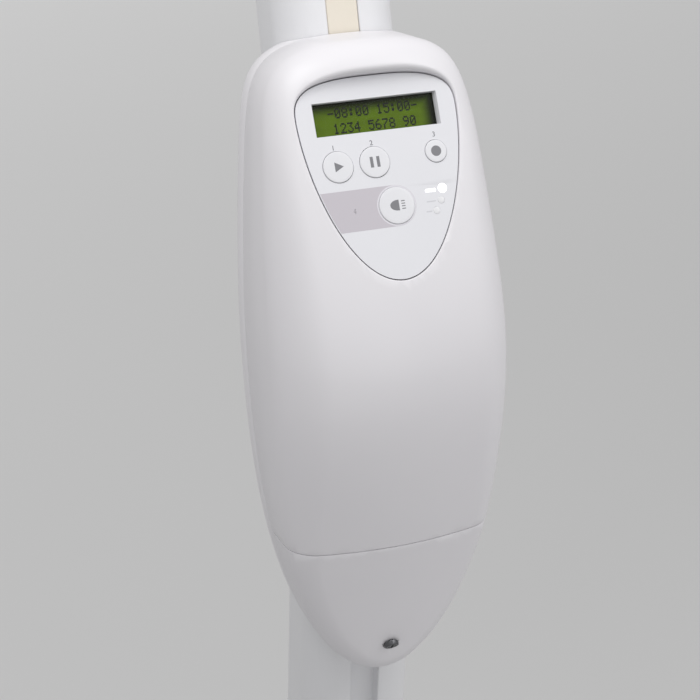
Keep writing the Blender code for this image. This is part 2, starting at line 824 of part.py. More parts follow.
def make_cap_screw(frame):
    top = SCREW_HEAD_HEIGHT
    chamfer = SCREW_SLOT / 2
    head = SCREW_HEAD_RADIUS
    shank = SCREW_SHANK_RADIUS
    profile = [
        (0, top),
        (head - chamfer, top),
        (head, top - chamfer),
        (head, 0),
        (shank, 0),
        (shank, -SCREW_SHANK_LENGTH),
        (0, -SCREW_SHANK_LENGTH),
    ]
    screw = turned("cap_screw", profile, steps=16)
    slot = block("driver_slot", (-head, -chamfer, top - SCREW_SLOT), (head, chamfer, top + OVERRUN))
    other = block("driver_cross", (-chamfer, -head, top - SCREW_SLOT), (chamfer, head, top + OVERRUN))
    seat = screw_place() @ Matrix.Translation((0, 0, GAP - SCREW_RECESS_DEPTH))
    for tool in (screw, slot, other):
        tool.data.transform(seat)
    cut(screw, slot, other)
    return piece("cap_screw", screw, "steel_dark", frame)


# Control panel and what it carries
def make_panel(frame):
    half_width, half_height = WINDOW_WIDTH / 2, WINDOW_HEIGHT / 2
    window = [
        (-half_width, -half_height),
        (half_width, -half_height),
        (half_width, half_height),
        (-half_width, half_height),
    ]
    holes = []
    for name, shares in KEY_SHARES.items():
        holes.append(circle(KEY_RADII[name] + KEY_FIT, KEY_SIDES, panel_point(shares)))
    for shares in INDICATOR_SHARES.values():
        holes.append(circle(INDICATOR_RADIUS + GAP, 10, panel_point(shares)))
    panel = plate("control_panel", [panel_outline(), window, *holes], -PANEL_THICKNESS, 0)
    return piece("control_panel", panel, "panel_film", frame)


def make_window(frame):
    half_width, half_height = WINDOW_WIDTH / 2 - GAP, WINDOW_HEIGHT / 2 - GAP
    low = (-half_width, -half_height, -WINDOW_RECESS - WINDOW_THICKNESS)
    pane = block("display_window", low, (half_width, half_height, -WINDOW_RECESS))
    return piece("display_window", pane, "window_clear", frame)


def make_display(frame):
    half_width, half_height = MODULE_WIDTH / 2, MODULE_HEIGHT / 2
    front = -PANEL_THICKNESS - GAP
    module = block(
        "display_module", (-half_width, -half_height, front - MODULE_DEPTH), (half_width, half_height, front)
    )
    view_x, view_y = WINDOW_WIDTH / 2, WINDOW_HEIGHT / 2
    floor = front - KEY_FLANGE_THICKNESS
    cut(module, block("view_area", (-view_x, -view_y, floor), (view_x, view_y, OVERRUN)))
    return piece("display_module", module, "display_green", frame)


def make_key(name, frame):
    x, y = panel_point(KEY_SHARES[name])
    radius = KEY_RADII[name]
    axis = axis_frame(f"{name}_axis", frame, Matrix.Translation((x, y, 0)))
    collar_top = -PANEL_THICKNESS - GAP
    profile = [
        (0, KEY_STAND),
        (radius - KEY_ROUND, KEY_STAND),
        (radius, KEY_STAND - KEY_ROUND),
        (radius, collar_top),
        (radius + KEY_FLANGE, collar_top),
        (radius + KEY_FLANGE, collar_top - KEY_FLANGE_THICKNESS),
        (0, collar_top - KEY_FLANGE_THICKNESS),
    ]
    return piece(name, turned(name, profile, KEY_SIDES), "key_film", axis)


def key_board_level():
    """Height of the key board's front face: keys travel down to the switches on it."""
    key_foot = -PANEL_THICKNESS - GAP - KEY_FLANGE_THICKNESS
    return key_foot - KEY_TRAVEL - GAP - SWITCH_RADIUS / 2


def make_indicator(name, frame):
    x, y = panel_point(INDICATOR_SHARES[name])
    foot = (x, y, key_board_level() + GAP)
    lens = rod(name, INDICATOR_RADIUS, foot, (x, y, INDICATOR_STAND), sides=10)
    finish = "lamp_white" if name == "indicator_high" else "lamp_amber"
    return piece(name, lens, finish, frame)


def make_key_board(frame):
    level = key_board_level()
    steps = 6
    right = []
    for step in range(steps + 1):
        drop = BOARD_TOP_DROP + (BOARD_FOOT_DROP - BOARD_TOP_DROP) * step / steps
        right.append((panel_half_width(drop) - BOARD_MARGIN, -drop))
    outline = right[::-1] + [(-x, y) for x, y in right]
    board = plate("key_board", [outline], level - BOARD_THICKNESS, level)
    for name, shares in KEY_SHARES.items():
        x, y = panel_point(shares)
        high = level + SWITCH_RADIUS / 2
        join(board, rod(f"{name}_switch", SWITCH_RADIUS, (x, y, level - GAP), (x, y, high), 8))
    return piece("key_board", board, "board_green", frame)


# Mast
def mast_section(offset=0.0, groove=True):
    """The mast's section as (x, out) points; out is 0 on the front face and grows forward."""
    middle = (0, -MAST_DEPTH / 2)
    width, depth = MAST_WIDTH + 2 * offset, MAST_DEPTH + 2 * offset
    points = rounded_rectangle(width, depth, MAST_ROUND + offset, 4, middle)
    if not groove:
        return points
    half_groove = GROOVE_WIDTH / 2 - offset
    floor = offset - GROOVE_DEPTH
    notch = [(half_groove, offset), (half_groove, floor), (-half_groove, floor), (-half_groove, offset)]
    return points[:5] + notch + points[5:]


def along_mast(section, angle, beyond=0.0):
    """A section set at an angle of the bow, or on the straight run beyond its end."""
    ring = []
    for x, out in section:
        reach = BOW_RADIUS + out
        forward = MAST_FRONT - BOW_RADIUS + reach * math.cos(angle) - beyond * math.sin(angle)
        height = reach * math.sin(angle) + beyond * math.cos(angle)
        ring.append((x, -forward, height))
    return ring


def lower_run():
    """Length of the straight run from the foot up to the bow."""
    middle = BOW_RADIUS - MAST_DEPTH / 2
    forward = MAST_FRONT - BOW_RADIUS + middle * math.cos(BOW_ANGLE)
    height = -middle * math.sin(BOW_ANGLE)
    start = CONSOLE_HEIGHT + height * math.cos(CONSOLE_LEAN) + forward * math.sin(CONSOLE_LEAN)
    return (start - mast_end_height()) / math.cos(BOW_ANGLE - CONSOLE_LEAN)


def console_forward():
    """Forward distance of the bow's middle that puts the mast's foot over the base's middle."""
    x, y, height = along_mast([(0, -MAST_DEPTH / 2)], -BOW_ANGLE, -lower_run())[0]
    return -(-y * math.cos(CONSOLE_LEAN) - height * math.sin(CONSOLE_LEAN))


def console_place():
    """From the console's frame to the stand's."""
    return Matrix.Translation((0, -console_forward(), CONSOLE_HEIGHT)) @ Matrix.Rotation(
        -CONSOLE_LEAN, 4, "X"
    )


def mast_stations():
    bow_steps = 6
    angles = [BOW_ANGLE * (2 * step / bow_steps - 1) for step in range(bow_steps + 1)]
    stations = [(-BOW_ANGLE, -lower_run())] + [(angle, 0) for angle in angles]
    return stations + [(BOW_ANGLE, MAST_TOP_RUN)]


def mast_solid(name, offset):
    """The space that the mast fills, grown by an offset on its sides and ends."""
    section = mast_section(offset, groove=False)
    stations = mast_stations()
    stations[0] = (-BOW_ANGLE, stations[0][1] - offset)
    stations[-1] = (BOW_ANGLE, MAST_TOP_RUN + offset)
    rings = [along_mast(section, angle, beyond) for angle, beyond in stations]
    return loft(name, rings)


def make_mast(frame):
    outer, inner = mast_section(), mast_section(-MAST_WALL)
    stations = mast_stations()
    rings = [along_mast(outer, angle, beyond) for angle, beyond in stations]
    rings += [along_mast(inner, angle, beyond) for angle, beyond in reversed(stations)]
    return piece("mast", wrapped_loft("mast", rings), "aluminium_painted", frame)


def make_trim(frame):
    half_width = GROOVE_WIDTH / 2 - GAP
    back = -TRIM_RECESS - TRIM_THICKNESS
    edge = TRIM_RECESS
    section = [
        (half_width, back),
        (half_width, -TRIM_RECESS - edge),
        (half_width - edge, -TRIM_RECESS),
        (edge - half_width, -TRIM_RECESS),
        (-half_width, -TRIM_RECESS - edge),
        (-half_width, back),
    ]
    steps = 3
    turns = [TRIM_START_ANGLE + (BOW_ANGLE - TRIM_START_ANGLE) * step / steps for step in range(steps + 1)]
    rings = [along_mast(section, turn) for turn in turns]
    rings.append(along_mast(section, BOW_ANGLE, MAST_TOP_RUN - GAP))
    return piece("groove_trim", loft("groove_trim", rings), "cream_strip", frame)


# What the console holds
def upright():
    """From a flat drawing in x and height to the console's frame: the drawing's z points forward."""
    return Matrix.Rotation(math.pi / 2, 4, "X")


def make_bracket(frame):
    half_width = BRACKET_WIDTH / 2
    web = [
        (-half_width, BRACKET_FOOT),
        (half_width, BRACKET_FOOT),
        (half_width, BRACKET_TOP),
        (-half_width, BRACKET_TOP),
    ]
    middle = (BRACKET_TOP + BRACKET_FOOT) / 2
    slots = []
    for index in (-1, 0, 1):
        centre = (0, middle + index * BRACKET_SLOT_PITCH)
        end = BRACKET_SLOT_WIDTH / 2
        slots.append(rounded_rectangle(BRACKET_SLOT_WIDTH, BRACKET_SLOT_LENGTH, end, 4, centre))
    back = MAST_FRONT + GAP
    bracket = plate("console_bracket", [web, *slots], back, back + BRACKET_SHEET, upright())
    for side in (-1, 1):
        edges = sorted((side * half_width, side * (half_width - BRACKET_SHEET)))
        low = (edges[0], -back - BRACKET_FLANGE, BRACKET_FOOT)
        join(bracket, block("bracket_flange", low, (edges[1], -back, BRACKET_TOP)))
    return piece("console_bracket", bracket, "steel_zinc", frame)


def bracket_front():
    return MAST_FRONT + GAP + BRACKET_SHEET


def make_supply(frame):
    half_width = SUPPLY_WIDTH / 2
    back = bracket_front() + GAP
    low = (-half_width, -back - SUPPLY_DEPTH, SUPPLY_FOOT)
    supply = block("power_supply", low, (half_width, -back, SUPPLY_FOOT + SUPPLY_HEIGHT))
    rounded(supply, BOARD_THICKNESS)
    return piece("power_supply", supply, "grey_moulding", frame)


def make_main_board(frame):
    half_width = MAIN_BOARD_WIDTH / 2
    low, high = MAIN_BOARD_FOOT, MAIN_BOARD_FOOT + MAIN_BOARD_HEIGHT
    back = bracket_front() + GAP + STANDOFF_LENGTH
    board_outline = rounded_rectangle(
        MAIN_BOARD_WIDTH, MAIN_BOARD_HEIGHT, STANDOFF_RADIUS, 2, (0, (low + high) / 2)
    )
    board = plate("main_board", [board_outline], back, back + BOARD_THICKNESS, upright())
    for x in (-half_width + STANDOFF_INSET, half_width - STANDOFF_INSET):
        for height in (low + STANDOFF_INSET, high - STANDOFF_INSET):
            start, end = (x, GAP - back + STANDOFF_LENGTH - GAP, height), (x, -back - GAP, height)
            join(board, rod("standoff", STANDOFF_RADIUS, start, end, 8))
    face = back + BOARD_THICKNESS - GAP
    chip = STANDOFF_INSET
    component_shares = [  # low corner in x and height, then width, height and depth, in chips
        (-1.5, 2.0, 3.0, 3.0, 0.4),
        (-2.5, 7.0, 2.2, 3.0, 1.3),
        (0.7, 7.2, 2.0, 2.0, 0.8),
    ]
    for x, rise, width, tall, deep in component_shares:
        low_corner = (x * chip, -face - deep * chip, low + rise * chip)
        high_corner = ((x + width) * chip, -face, low + (rise + tall) * chip)
        join(board, block("component", low_corner, high_corner))
    return piece("main_board", board, "board_green", frame)


# Base
def star_angle(index):
    """Direction of a leg from above; the first one points forward."""
    return -math.pi / 2 + math.tau * index / LEG_COUNT


def castor_height():
    """Floor to the underside of a leg's socket."""
    return HOOD_TOP + GAP


def star_place(index):
    return Matrix.Rotation(star_angle(index), 4, "Z")


def leg_ring(reach, width, low, high):
    """A leg's section: flat below, with its upper edges rounded off."""
    half, edge = width / 2, (high - low) * LEG_EDGE_SHARE
    outline = [
        (half - edge / 2, low),
        (half, low + edge / 2),
        (half - edge / 2, high - edge),
        (half - 2 * edge, high),
    ]
    points = outline + [(-across, height) for across, height in reversed(outline)]
    return [(reach, across, height) for across, height in points]


def make_star(frame):
    low = castor_height()
    hub_profile = [
        (0, HUB_TOP),
        (HUB_RADIUS - LEG_ROUND, HUB_TOP),
        (HUB_RADIUS, HUB_TOP - LEG_ROUND),
        (HUB_RADIUS, HUB_LOW + LEG_ROUND),
        (HUB_RADIUS - LEG_ROUND, HUB_LOW),
        (0, HUB_LOW),
    ]
    star = turned("base_star", hub_profile, steps=20)
    for index in range(LEG_COUNT):
        rings = [
            leg_ring(HUB_RADIUS / 2, LEG_ROOT_WIDTH, HUB_LOW + GAP, HUB_TOP - LEG_ROUND),
            leg_ring(LEG_REACH / 2, LEG_MIDDLE_WIDTH, HUB_LOW + GAP, LEG_MIDDLE_TOP),
            leg_ring(LEG_REACH, LEG_END_WIDTH, low + GAP, LEG_END_TOP),
        ]
        join(star, loft(f"leg_{index + 1}", rings, place=star_place(index)))
        top = (LEG_REACH, 0, LEG_END_TOP + GAP)
        end = rod(f"leg_end_{index + 1}", SOCKET_RADIUS, (LEG_REACH, 0, low), top, 12)
        end.data.transform(star_place(index))
        join(star, end)
    merged(star)
    for index in range(LEG_COUNT):
        bore_top = castor_height() + STEM_LENGTH + GAP
        start, finish = (LEG_REACH, 0, low - OVERRUN), (LEG_REACH, 0, bore_top)
        bore = rod(f"stem_bore_{index + 1}", STEM_RADIUS + RUNNING_GAP, start, finish, 12)
        bore.data.transform(star_place(index))
        cut(star, bore)
    return piece("base_star", star, "white_enamel", frame)


def castor_fork_shape():
    """Web between the wheels, hood over them, and the stem; x points along the trail."""
    axle = Vector((CASTOR_TRAIL, 0, WHEEL_RADIUS))
    steps = 6
    arc = [HOOD_START + (HOOD_END - HOOD_START) * step / steps for step in range(steps + 1)]
    inner, outer = HOOD_RADIUS, HOOD_RADIUS + HOOD_WALL
    hood_outline = [(axle.x + outer * math.cos(a), axle.z + outer * math.sin(a)) for a in arc]
    hood_outline += [
        (axle.x + inner * math.cos(a), axle.z + inner * math.sin(a)) for a in reversed(arc)
    ]
    side = Matrix.Rotation(math.pi / 2, 4, "X")
    hood = plate("castor_hood", [hood_outline], -HOOD_WIDTH / 2, HOOD_WIDTH / 2, side)
    hub = AXLE_BOSS
    web_outline = [
        (axle.x - hub, axle.z),
        (axle.x - hub * 0.7, axle.z - hub * 0.7),
        (axle.x, axle.z - hub),
        (axle.x + hub * 0.7, axle.z - hub * 0.7),
        (axle.x + hub, axle.z),
        (axle.x + inner * math.cos(HOOD_START), axle.z + inner * math.sin(HOOD_START)),
    ]
    web_outline += [
        (axle.x + (inner + HOOD_WALL / 2) * math.cos(a), axle.z + (inner + HOOD_WALL / 2) * math.sin(a))
        for a in arc
    ]
    web = plate("castor_web", [web_outline], -WEB_WIDTH / 2, WEB_WIDTH / 2, side)
    top = rod("castor_top", TOP_RADIUS, (0, 0, HOOD_TOP - TOP_HEIGHT), (0, 0, HOOD_TOP), 12)
    stem = rod("castor_stem", STEM_RADIUS, (0, 0, HOOD_TOP - GAP), (0, 0, HOOD_TOP + STEM_LENGTH), 12)
    bore_radius = AXLE_RADIUS + RUNNING_GAP
    half = HOOD_WIDTH
    bore = rod("axle_bore", bore_radius, (axle.x, -half, axle.z), (axle.x, half, axle.z), 10)
    join(web, hood, top, stem)
    merged(web)
    near, far = (axle.x, WEB_WIDTH / 2, axle.z), (axle.x, half, axle.z)
    wheel_way = rod("wheel_way", WHEEL_RADIUS + RUNNING_GAP, near, far, 16)
    near, far = (axle.x, -half, axle.z), (axle.x, -WEB_WIDTH / 2, axle.z)
    other_way = rod("other_way", WHEEL_RADIUS + RUNNING_GAP, near, far, 16)
    cut(web, wheel_way, other_way, bore)
    return merged(web)


def castor_wheels_shape():
    """Twin wheels on their axle, with the axle along y."""
    inner = WEB_WIDTH / 2 + RUNNING_GAP
    outer = HOOD_WIDTH / 2
    edge = TREAD_EDGE
    half_profile = [
        (0, outer),
        (WHEEL_RADIUS - edge, outer),
        (WHEEL_RADIUS, outer - edge),
        (WHEEL_RADIUS, inner),
        (AXLE_RADIUS, inner),
    ]
    profile = half_profile + [(radius, -y) for radius, y in reversed(half_profile)]
    return turned("castor_wheels", profile, 16, Matrix.Rotation(math.pi / 2, 4, "X"))


def castor_pedal_shape():
    """Brake pedal: a plate on a barrel across the hood's outer end."""
    half = HOOD_WIDTH / 2
    barrel = rod("castor_pedal", PEDAL_THICKNESS, (0, -half, 0), (0, half, 0), 8)
    high = PEDAL_THICKNESS / 2
    tread = block("pedal_plate", (0, -half, -high), (PEDAL_LENGTH, half, high))
    join(barrel, tread)
    return merged(barrel)


def copy_of(name, mesh):
    return tool_object(name, mesh.copy())


def make_castors(frame):
    fork, wheels, pedal = castor_fork_shape(), castor_wheels_shape(), castor_pedal_shape()
    for index in range(LEG_COUNT):
        number = index + 1
        stand = star_place(index) @ Matrix.Translation((LEG_REACH, 0, 0))
        swivel = axis_frame(f"castor_{number}_swivel_axis", frame, stand)
        piece(f"castor_fork_{number}", copy_of("fork", fork.data), "grey_moulding", swivel)
        axle_place = Matrix.Translation((CASTOR_TRAIL, 0, WHEEL_RADIUS))
        axle = axis_frame(f"castor_{number}_wheel_axis", swivel, axle_place)
        piece(f"castor_wheels_{number}", copy_of("wheels", wheels.data), "grey_rubber", axle)
        hinge = axis_frame(f"castor_{number}_pedal_axis", swivel, pedal_place())
        piece(f"castor_pedal_{number}", copy_of("pedal", pedal.data), "grey_moulding", hinge)
    for tool in (fork, wheels, pedal):
        bpy.data.objects.remove(tool, do_unlink=True)


def pedal_place():
    """The pedal's hinge lies just outside the hood's outer end."""
    reach = HOOD_RADIUS + HOOD_WALL + PEDAL_THICKNESS + GAP
    x = CASTOR_TRAIL + reach * math.cos(HOOD_START)
    height = WHEEL_RADIUS + reach * math.sin(HOOD_START)
    return Matrix.Translation((x, 0, height))


def mast_end_height():
    """The mast's foot stands in the foot casting, a wall above the hub."""
    return HUB_TOP + GAP + FOOT_FLANGE + GAP


def make_mast_foot(frame):
    flange_low = HUB_TOP + GAP
    foot = rod("mast_foot", FOOT_RADIUS, (0, 0, flange_low), (0, 0, flange_low + FOOT_FLANGE), 24)
    section = mast_section(FOOT_WALL, groove=False)
    to_stand = console_place()
    run = -lower_run()
    rings = [
        [to_stand @ Vector(point) for point in along_mast(section, -BOW_ANGLE, run + step)]
        for step in (0, FOOT_HEIGHT)
    ]
    socket = loft("foot_socket", rings)
    flange_middle = flange_low + FOOT_FLANGE / 2
    low, high = (-FOOT_RADIUS, -FOOT_RADIUS, 0), (FOOT_RADIUS, FOOT_RADIUS, flange_middle)
    join(foot, merged(cut(socket, block("below_flange", low, high))))
    way = mast_solid("mast_socket", GAP)
    way.data.transform(to_stand)
    cut(foot, way)
    return piece("mast_foot", foot, "aluminium_bare", frame)


def cover_ring(width, depth, radius, height):
    return [(x, y, height) for x, y in rounded_rectangle(width, depth, radius, 4)]


def make_base_cover(frame):
    low = HUB_TOP + GAP
    width, depth, radius = COVER_WIDTH, COVER_DEPTH, COVER_ROUND
    rings = [cover_ring(width, depth, radius, low), cover_ring(width, depth, radius, COVER_SHOULDER)]
    steps = 4
    for step in range(1, steps + 1):
        turn = math.pi / 2 * step / steps
        inset = COVER_EDGE * (1 - math.cos(turn))
        height = COVER_SHOULDER + COVER_EDGE * math.sin(turn)
        rings.append(cover_ring(width - 2 * inset, depth - 2 * inset, radius - inset / 2, height))
    cover = shelled(loft("base_cover", rings, start_cap=False), HOUSING_WALL)
    way = mast_solid("mast_way_base", COVER_FIT)
    way.data.transform(console_place())
    half_width, half_height = INLET_BODY_WIDTH / 2 + GAP, INLET_BODY_HEIGHT / 2 + GAP
    inlet_low = (-half_width, COVER_DEPTH / 2 - OVERRUN, INLET_HEIGHT - half_height)
    inlet_high = (half_width, COVER_DEPTH / 2 + OVERRUN, INLET_HEIGHT + half_height)
    cut(cover, way, block("inlet_way", inlet_low, inlet_high))
    return piece("base_cover", cover, "white_moulding", frame)


# Power entry, in its own frame: origin on the base cover's rear face, z out of it
def inlet_place():
    turn = Matrix.Rotation(math.pi, 4, "Z") @ Matrix.Rotation(math.pi / 2, 4, "X")
    return Matrix.Translation((0, COVER_DEPTH / 2 + GAP, INLET_HEIGHT)) @ turn


def centred_block(name, width, height, low, high, middle=(0.0, 0.0)):
    x, y = middle
    near = (x - width / 2, y - height / 2, low)
    return block(name, near, (x + width / 2, y + height / 2, high))


def make_inlet(frame):
    corner = INLET_FLANGE
    flange_outline = rounded_rectangle(
        INLET_BODY_WIDTH + 2 * INLET_FLANGE, INLET_BODY_HEIGHT + 2 * INLET_FLANGE, corner, 3
    )
    inlet = plate("power_inlet", [flange_outline], 0, INLET_FLANGE_THICKNESS)
    high = INLET_FLANGE_THICKNESS
    body = centred_block("inlet_body", INLET_BODY_WIDTH, INLET_BODY_HEIGHT, -INLET_BODY_DEPTH, high / 2)
    merged(join(inlet, body))
    place = (SOCKET_PLACE, 0)
    floor = high - SOCKET_DEPTH
    socket = centred_block("inlet_socket", SOCKET_WIDTH, SOCKET_HEIGHT, floor, OVERRUN, place)
    fuse_size = (FUSE_WIDTH + 2 * GAP, FUSE_HEIGHT + 2 * GAP)
    fuse_floor = high - FUSE_LENGTH - GAP
    fuse_way = centred_block("fuse_way", *fuse_size, fuse_floor, OVERRUN, (FUSE_PLACE, 0))
    rocker_size = (ROCKER_WIDTH + 2 * GAP, ROCKER_HEIGHT + 4 * GAP)
    rocker_floor = high - ROCKER_DEPTH - ROCKER_STAND
    rocker_way = centred_block("rocker_way", *rocker_size, rocker_floor, OVERRUN, (ROCKER_PLACE, 0))
    merged(cut(inlet, socket, fuse_way, rocker_way))
    for across, rise in ((-1, 0), (0, 1), (1, 0)):
        middle = (SOCKET_PLACE + across * PIN_PITCH, rise * PIN_RISE - PIN_RISE / 2)
        pin = centred_block("inlet_pin", PIN_WIDTH, PIN_HEIGHT, floor - GAP, -PIN_WIDTH, middle)
        join(inlet, pin)
    return piece("power_inlet", inlet, "black_moulding", frame)


def make_fuse_drawer(frame):
    axis = axis_frame("fuse_drawer_axis", frame, Matrix.Translation((FUSE_PLACE, 0, 0)))
    high = INLET_FLANGE_THICKNESS
    drawer = centred_block("fuse_drawer", FUSE_WIDTH, FUSE_HEIGHT, high - FUSE_LENGTH, high)
    lip = centred_block("drawer_lip", FUSE_WIDTH / 2, FUSE_HEIGHT, high - GAP, high + FUSE_STAND)
    chamber_low, chamber_high = high - FUSE_LENGTH * 0.8, high - FUSE_LENGTH / 4
    chamber_width = FUSE_WIDTH + OVERRUN
    chamber = centred_block("fuse_chamber", chamber_width, FUSE_HEIGHT / 2, chamber_low, chamber_high)
    chamber.data.transform(Matrix.Translation((OVERRUN / 2 + FUSE_WIDTH / 4, 0, 0)))
    cut(join(drawer, lip), chamber)
    return piece("fuse_drawer", drawer, "black_moulding", axis)


def make_rocker(frame):
    """The rocker is drawn in its middle position and set down at its off side."""
    rest = Matrix.Translation((ROCKER_PLACE, 0, 0))
    axis = axis_frame("power_switch_axis", frame, rest)
    half, stand = ROCKER_HEIGHT / 2, INLET_FLANGE_THICKNESS + ROCKER_STAND
    dish = ROCKER_STAND / 2
    profile = [
        (-half, stand),
        (0, stand - dish),
        (half, stand),
        (half - dish, -ROCKER_DEPTH / 4),
        (0, -ROCKER_DEPTH / 2),
        (dish - half, -ROCKER_DEPTH / 4),
    ]
    turn = Matrix.Rotation(math.pi / 2, 4, "Z") @ Matrix.Rotation(math.pi / 2, 4, "X")
    reach = ROCKER_WIDTH / 2
    rocker = plate("power_switch", [profile], -reach, reach, turn)
    rocker.data.transform(Matrix.Rotation(ROCKER_TILT, 4, "X"))
    return piece("power_switch", rocker, "black_moulding", axis)


# Head of the mast
def mast_top():
    """Middle of the mast's upper end, in the stand's frame."""
    x, y, height = along_mast([(0, -MAST_DEPTH / 2)], BOW_ANGLE, MAST_TOP_RUN)[0]
    return console_place() @ Vector((x, y, height))


def spindle_shoulder():
    return mast_top().z + SPINDLE_FOOT


def spindle_place():
    """The spindle stands over the mast's upper end; x, y and the floor are the stand's."""
    return Vector((0, mast_top().y, 0))


def make_mast_head(frame):
    section = mast_section(CAP_WALL, groove=False)
    to_stand = console_place()
    rings = []
    for beyond in (MAST_TOP_RUN - SPINDLE_FOOT / 2, MAST_TOP_RUN + GAP + CAP_WALL / 2):
        rings.append([to_stand @ Vector(point) for point in along_mast(section, BOW_ANGLE, beyond)])
    middle = spindle_place()
    shoulder = spindle_shoulder()
    for radius, height in (
        (SPINDLE_SHOULDER_RADIUS, shoulder - CAP_WALL),
        (SPINDLE_SHOULDER_RADIUS, shoulder - GAP),
    ):
        ring = []
        for x, out in section:
            turn = math.atan2(out + MAST_DEPTH / 2, x)
            ring.append((radius * math.cos(turn), middle.y - radius * math.sin(turn), height))
        rings.append(ring)
    head = loft("mast_head", rings)
    start = (0, middle.y, shoulder - CAP_WALL)
    join(head, rod("spindle", SPINDLE_RADIUS, start, (0, middle.y, shoulder + SPINDLE_LENGTH), 18))
    way = mast_solid("mast_end_way", GAP)
    way.data.transform(to_stand)
    cut(head, way)
    return piece("mast_head", head, "white_enamel", frame)


# Arms
def arm_level():
    """Underside of the extension arm's hub."""
    return spindle_shoulder() + GAP


def elbow_offset():
    """From the spindle to the elbow, in the extension arm's frame."""
    return Vector((ELBOW_RIGHT, ELBOW_BACK, 0))


def make_extension_arm(turret):
    bore = rod(
        "spindle_bore",
        SPINDLE_RADIUS + RUNNING_GAP,
        (0, 0, -OVERRUN),
        (0, 0, SPINDLE_LENGTH + RUNNING_GAP),
        18,
    )
    edge = LEG_ROUND
    hub_profile = [
        (0, ARM_HUB_HEIGHT),
        (ARM_HUB_RADIUS - edge, ARM_HUB_HEIGHT),
        (ARM_HUB_RADIUS, ARM_HUB_HEIGHT - edge),
        (ARM_HUB_RADIUS, 0),
        (0, 0),
    ]
    arm = turned("extension_arm", hub_profile, 24)
    elbow = elbow_offset()
    along = elbow.normalized()
    side = Vector((-along.y, along.x, 0))
    middle = Vector((0, 0, ARM_HUB_HEIGHT / 2))
    rings = []
    for share in (0, 0.25, 0.75, 1):
        waist = 1 - (1 - ARM_WAIST_SHARE) * math.sin(math.pi * share)
        ring = []
        for x, z in rounded_rectangle(ARM_WIDTH * waist, ARM_THICKNESS * waist, ARM_THICKNESS * 0.4, 3):
            ring.append(middle + elbow * share + side * x + Vector((0, 0, z)))
        rings.append(ring)
    elbow_profile = [
        (0, ARM_HUB_HEIGHT),
        (ELBOW_RADIUS - edge, ARM_HUB_HEIGHT),
        (ELBOW_RADIUS, ARM_HUB_HEIGHT - edge),
        (ELBOW_RADIUS, edge),
        (ELBOW_RADIUS - edge, 0),
        (0, 0),
    ]
    elbow_hub = turned("elbow_hub", elbow_profile, 20, Matrix.Translation(elbow))
    merged(join(arm, loft("arm_bar", rings), elbow_hub))
    pin_way = rod(
        "elbow_bore",
        PIN_RADIUS + RUNNING_GAP,
        elbow + Vector((0, 0, ARM_HUB_HEIGHT - PIN_LENGTH - RUNNING_GAP)),
        elbow + Vector((0, 0, ARM_HUB_HEIGHT + OVERRUN)),
        16,
    )
    cut(arm, bore, pin_way)
    return piece("extension_arm", arm, "white_enamel", turret)


def cheeks(name, low_pivot, high_pivot, foot):
    """Two cheeks with both pivot pins across them; the pivots lie along z at x = 0."""
    side = Matrix.Rotation(math.pi / 2, 4, "X")
    steps = 6
    outline = [(-CHEEK_RADIUS, foot), (CHEEK_RADIUS, foot)]
    for step in range(steps + 1):
        turn = math.pi * step / steps
        outline.append((CHEEK_RADIUS * math.cos(turn), high_pivot + CHEEK_RADIUS * math.sin(turn)))
    inner = CHEEK_GAP / 2
    near = plate(name, [outline], inner, inner + CHEEK_THICKNESS, side)
    far = plate(f"{name}_far", [outline], -inner - CHEEK_THICKNESS, -inner, side)
    reach = inner + CHEEK_THICKNESS / 2
    pins = [
        rod(f"{name}_pin", PIVOT_PIN_RADIUS, (0, -reach, pivot), (0, reach, pivot), 12)
        for pivot in (low_pivot, high_pivot)
    ]
    return join(near, far, *pins)


def make_elbow_bracket(elbow):
    low = 0
    high = BRACKET_FOOT_THICKNESS
    foot = rod("elbow_foot", ELBOW_RADIUS, (0, 0, low), (0, 0, high), 20)
    pin = rod("elbow_pin", PIN_RADIUS, (0, 0, -PIN_LENGTH), (0, 0, high / 2), 16)
    pivots = (PIVOT_RISE, PIVOT_RISE + PIVOT_PITCH)
    bracket = cheeks("elbow_bracket", *pivots, high / 2)
    join(bracket, foot, pin)
    return piece("elbow_bracket", bracket, "white_enamel", elbow)


def eye(name, radius, width, middle):
    """A solid eye across the arm with its pin hole cut later."""
    x, z = middle
    return rod(name, radius, (x, -width / 2, z), (x, width / 2, z), 16)


def pin_hole(name, middle, width):
    x, z = middle
    return rod(name, PIVOT_PIN_RADIUS + RUNNING_GAP, (x, -width, z), (x, width, z), 12)


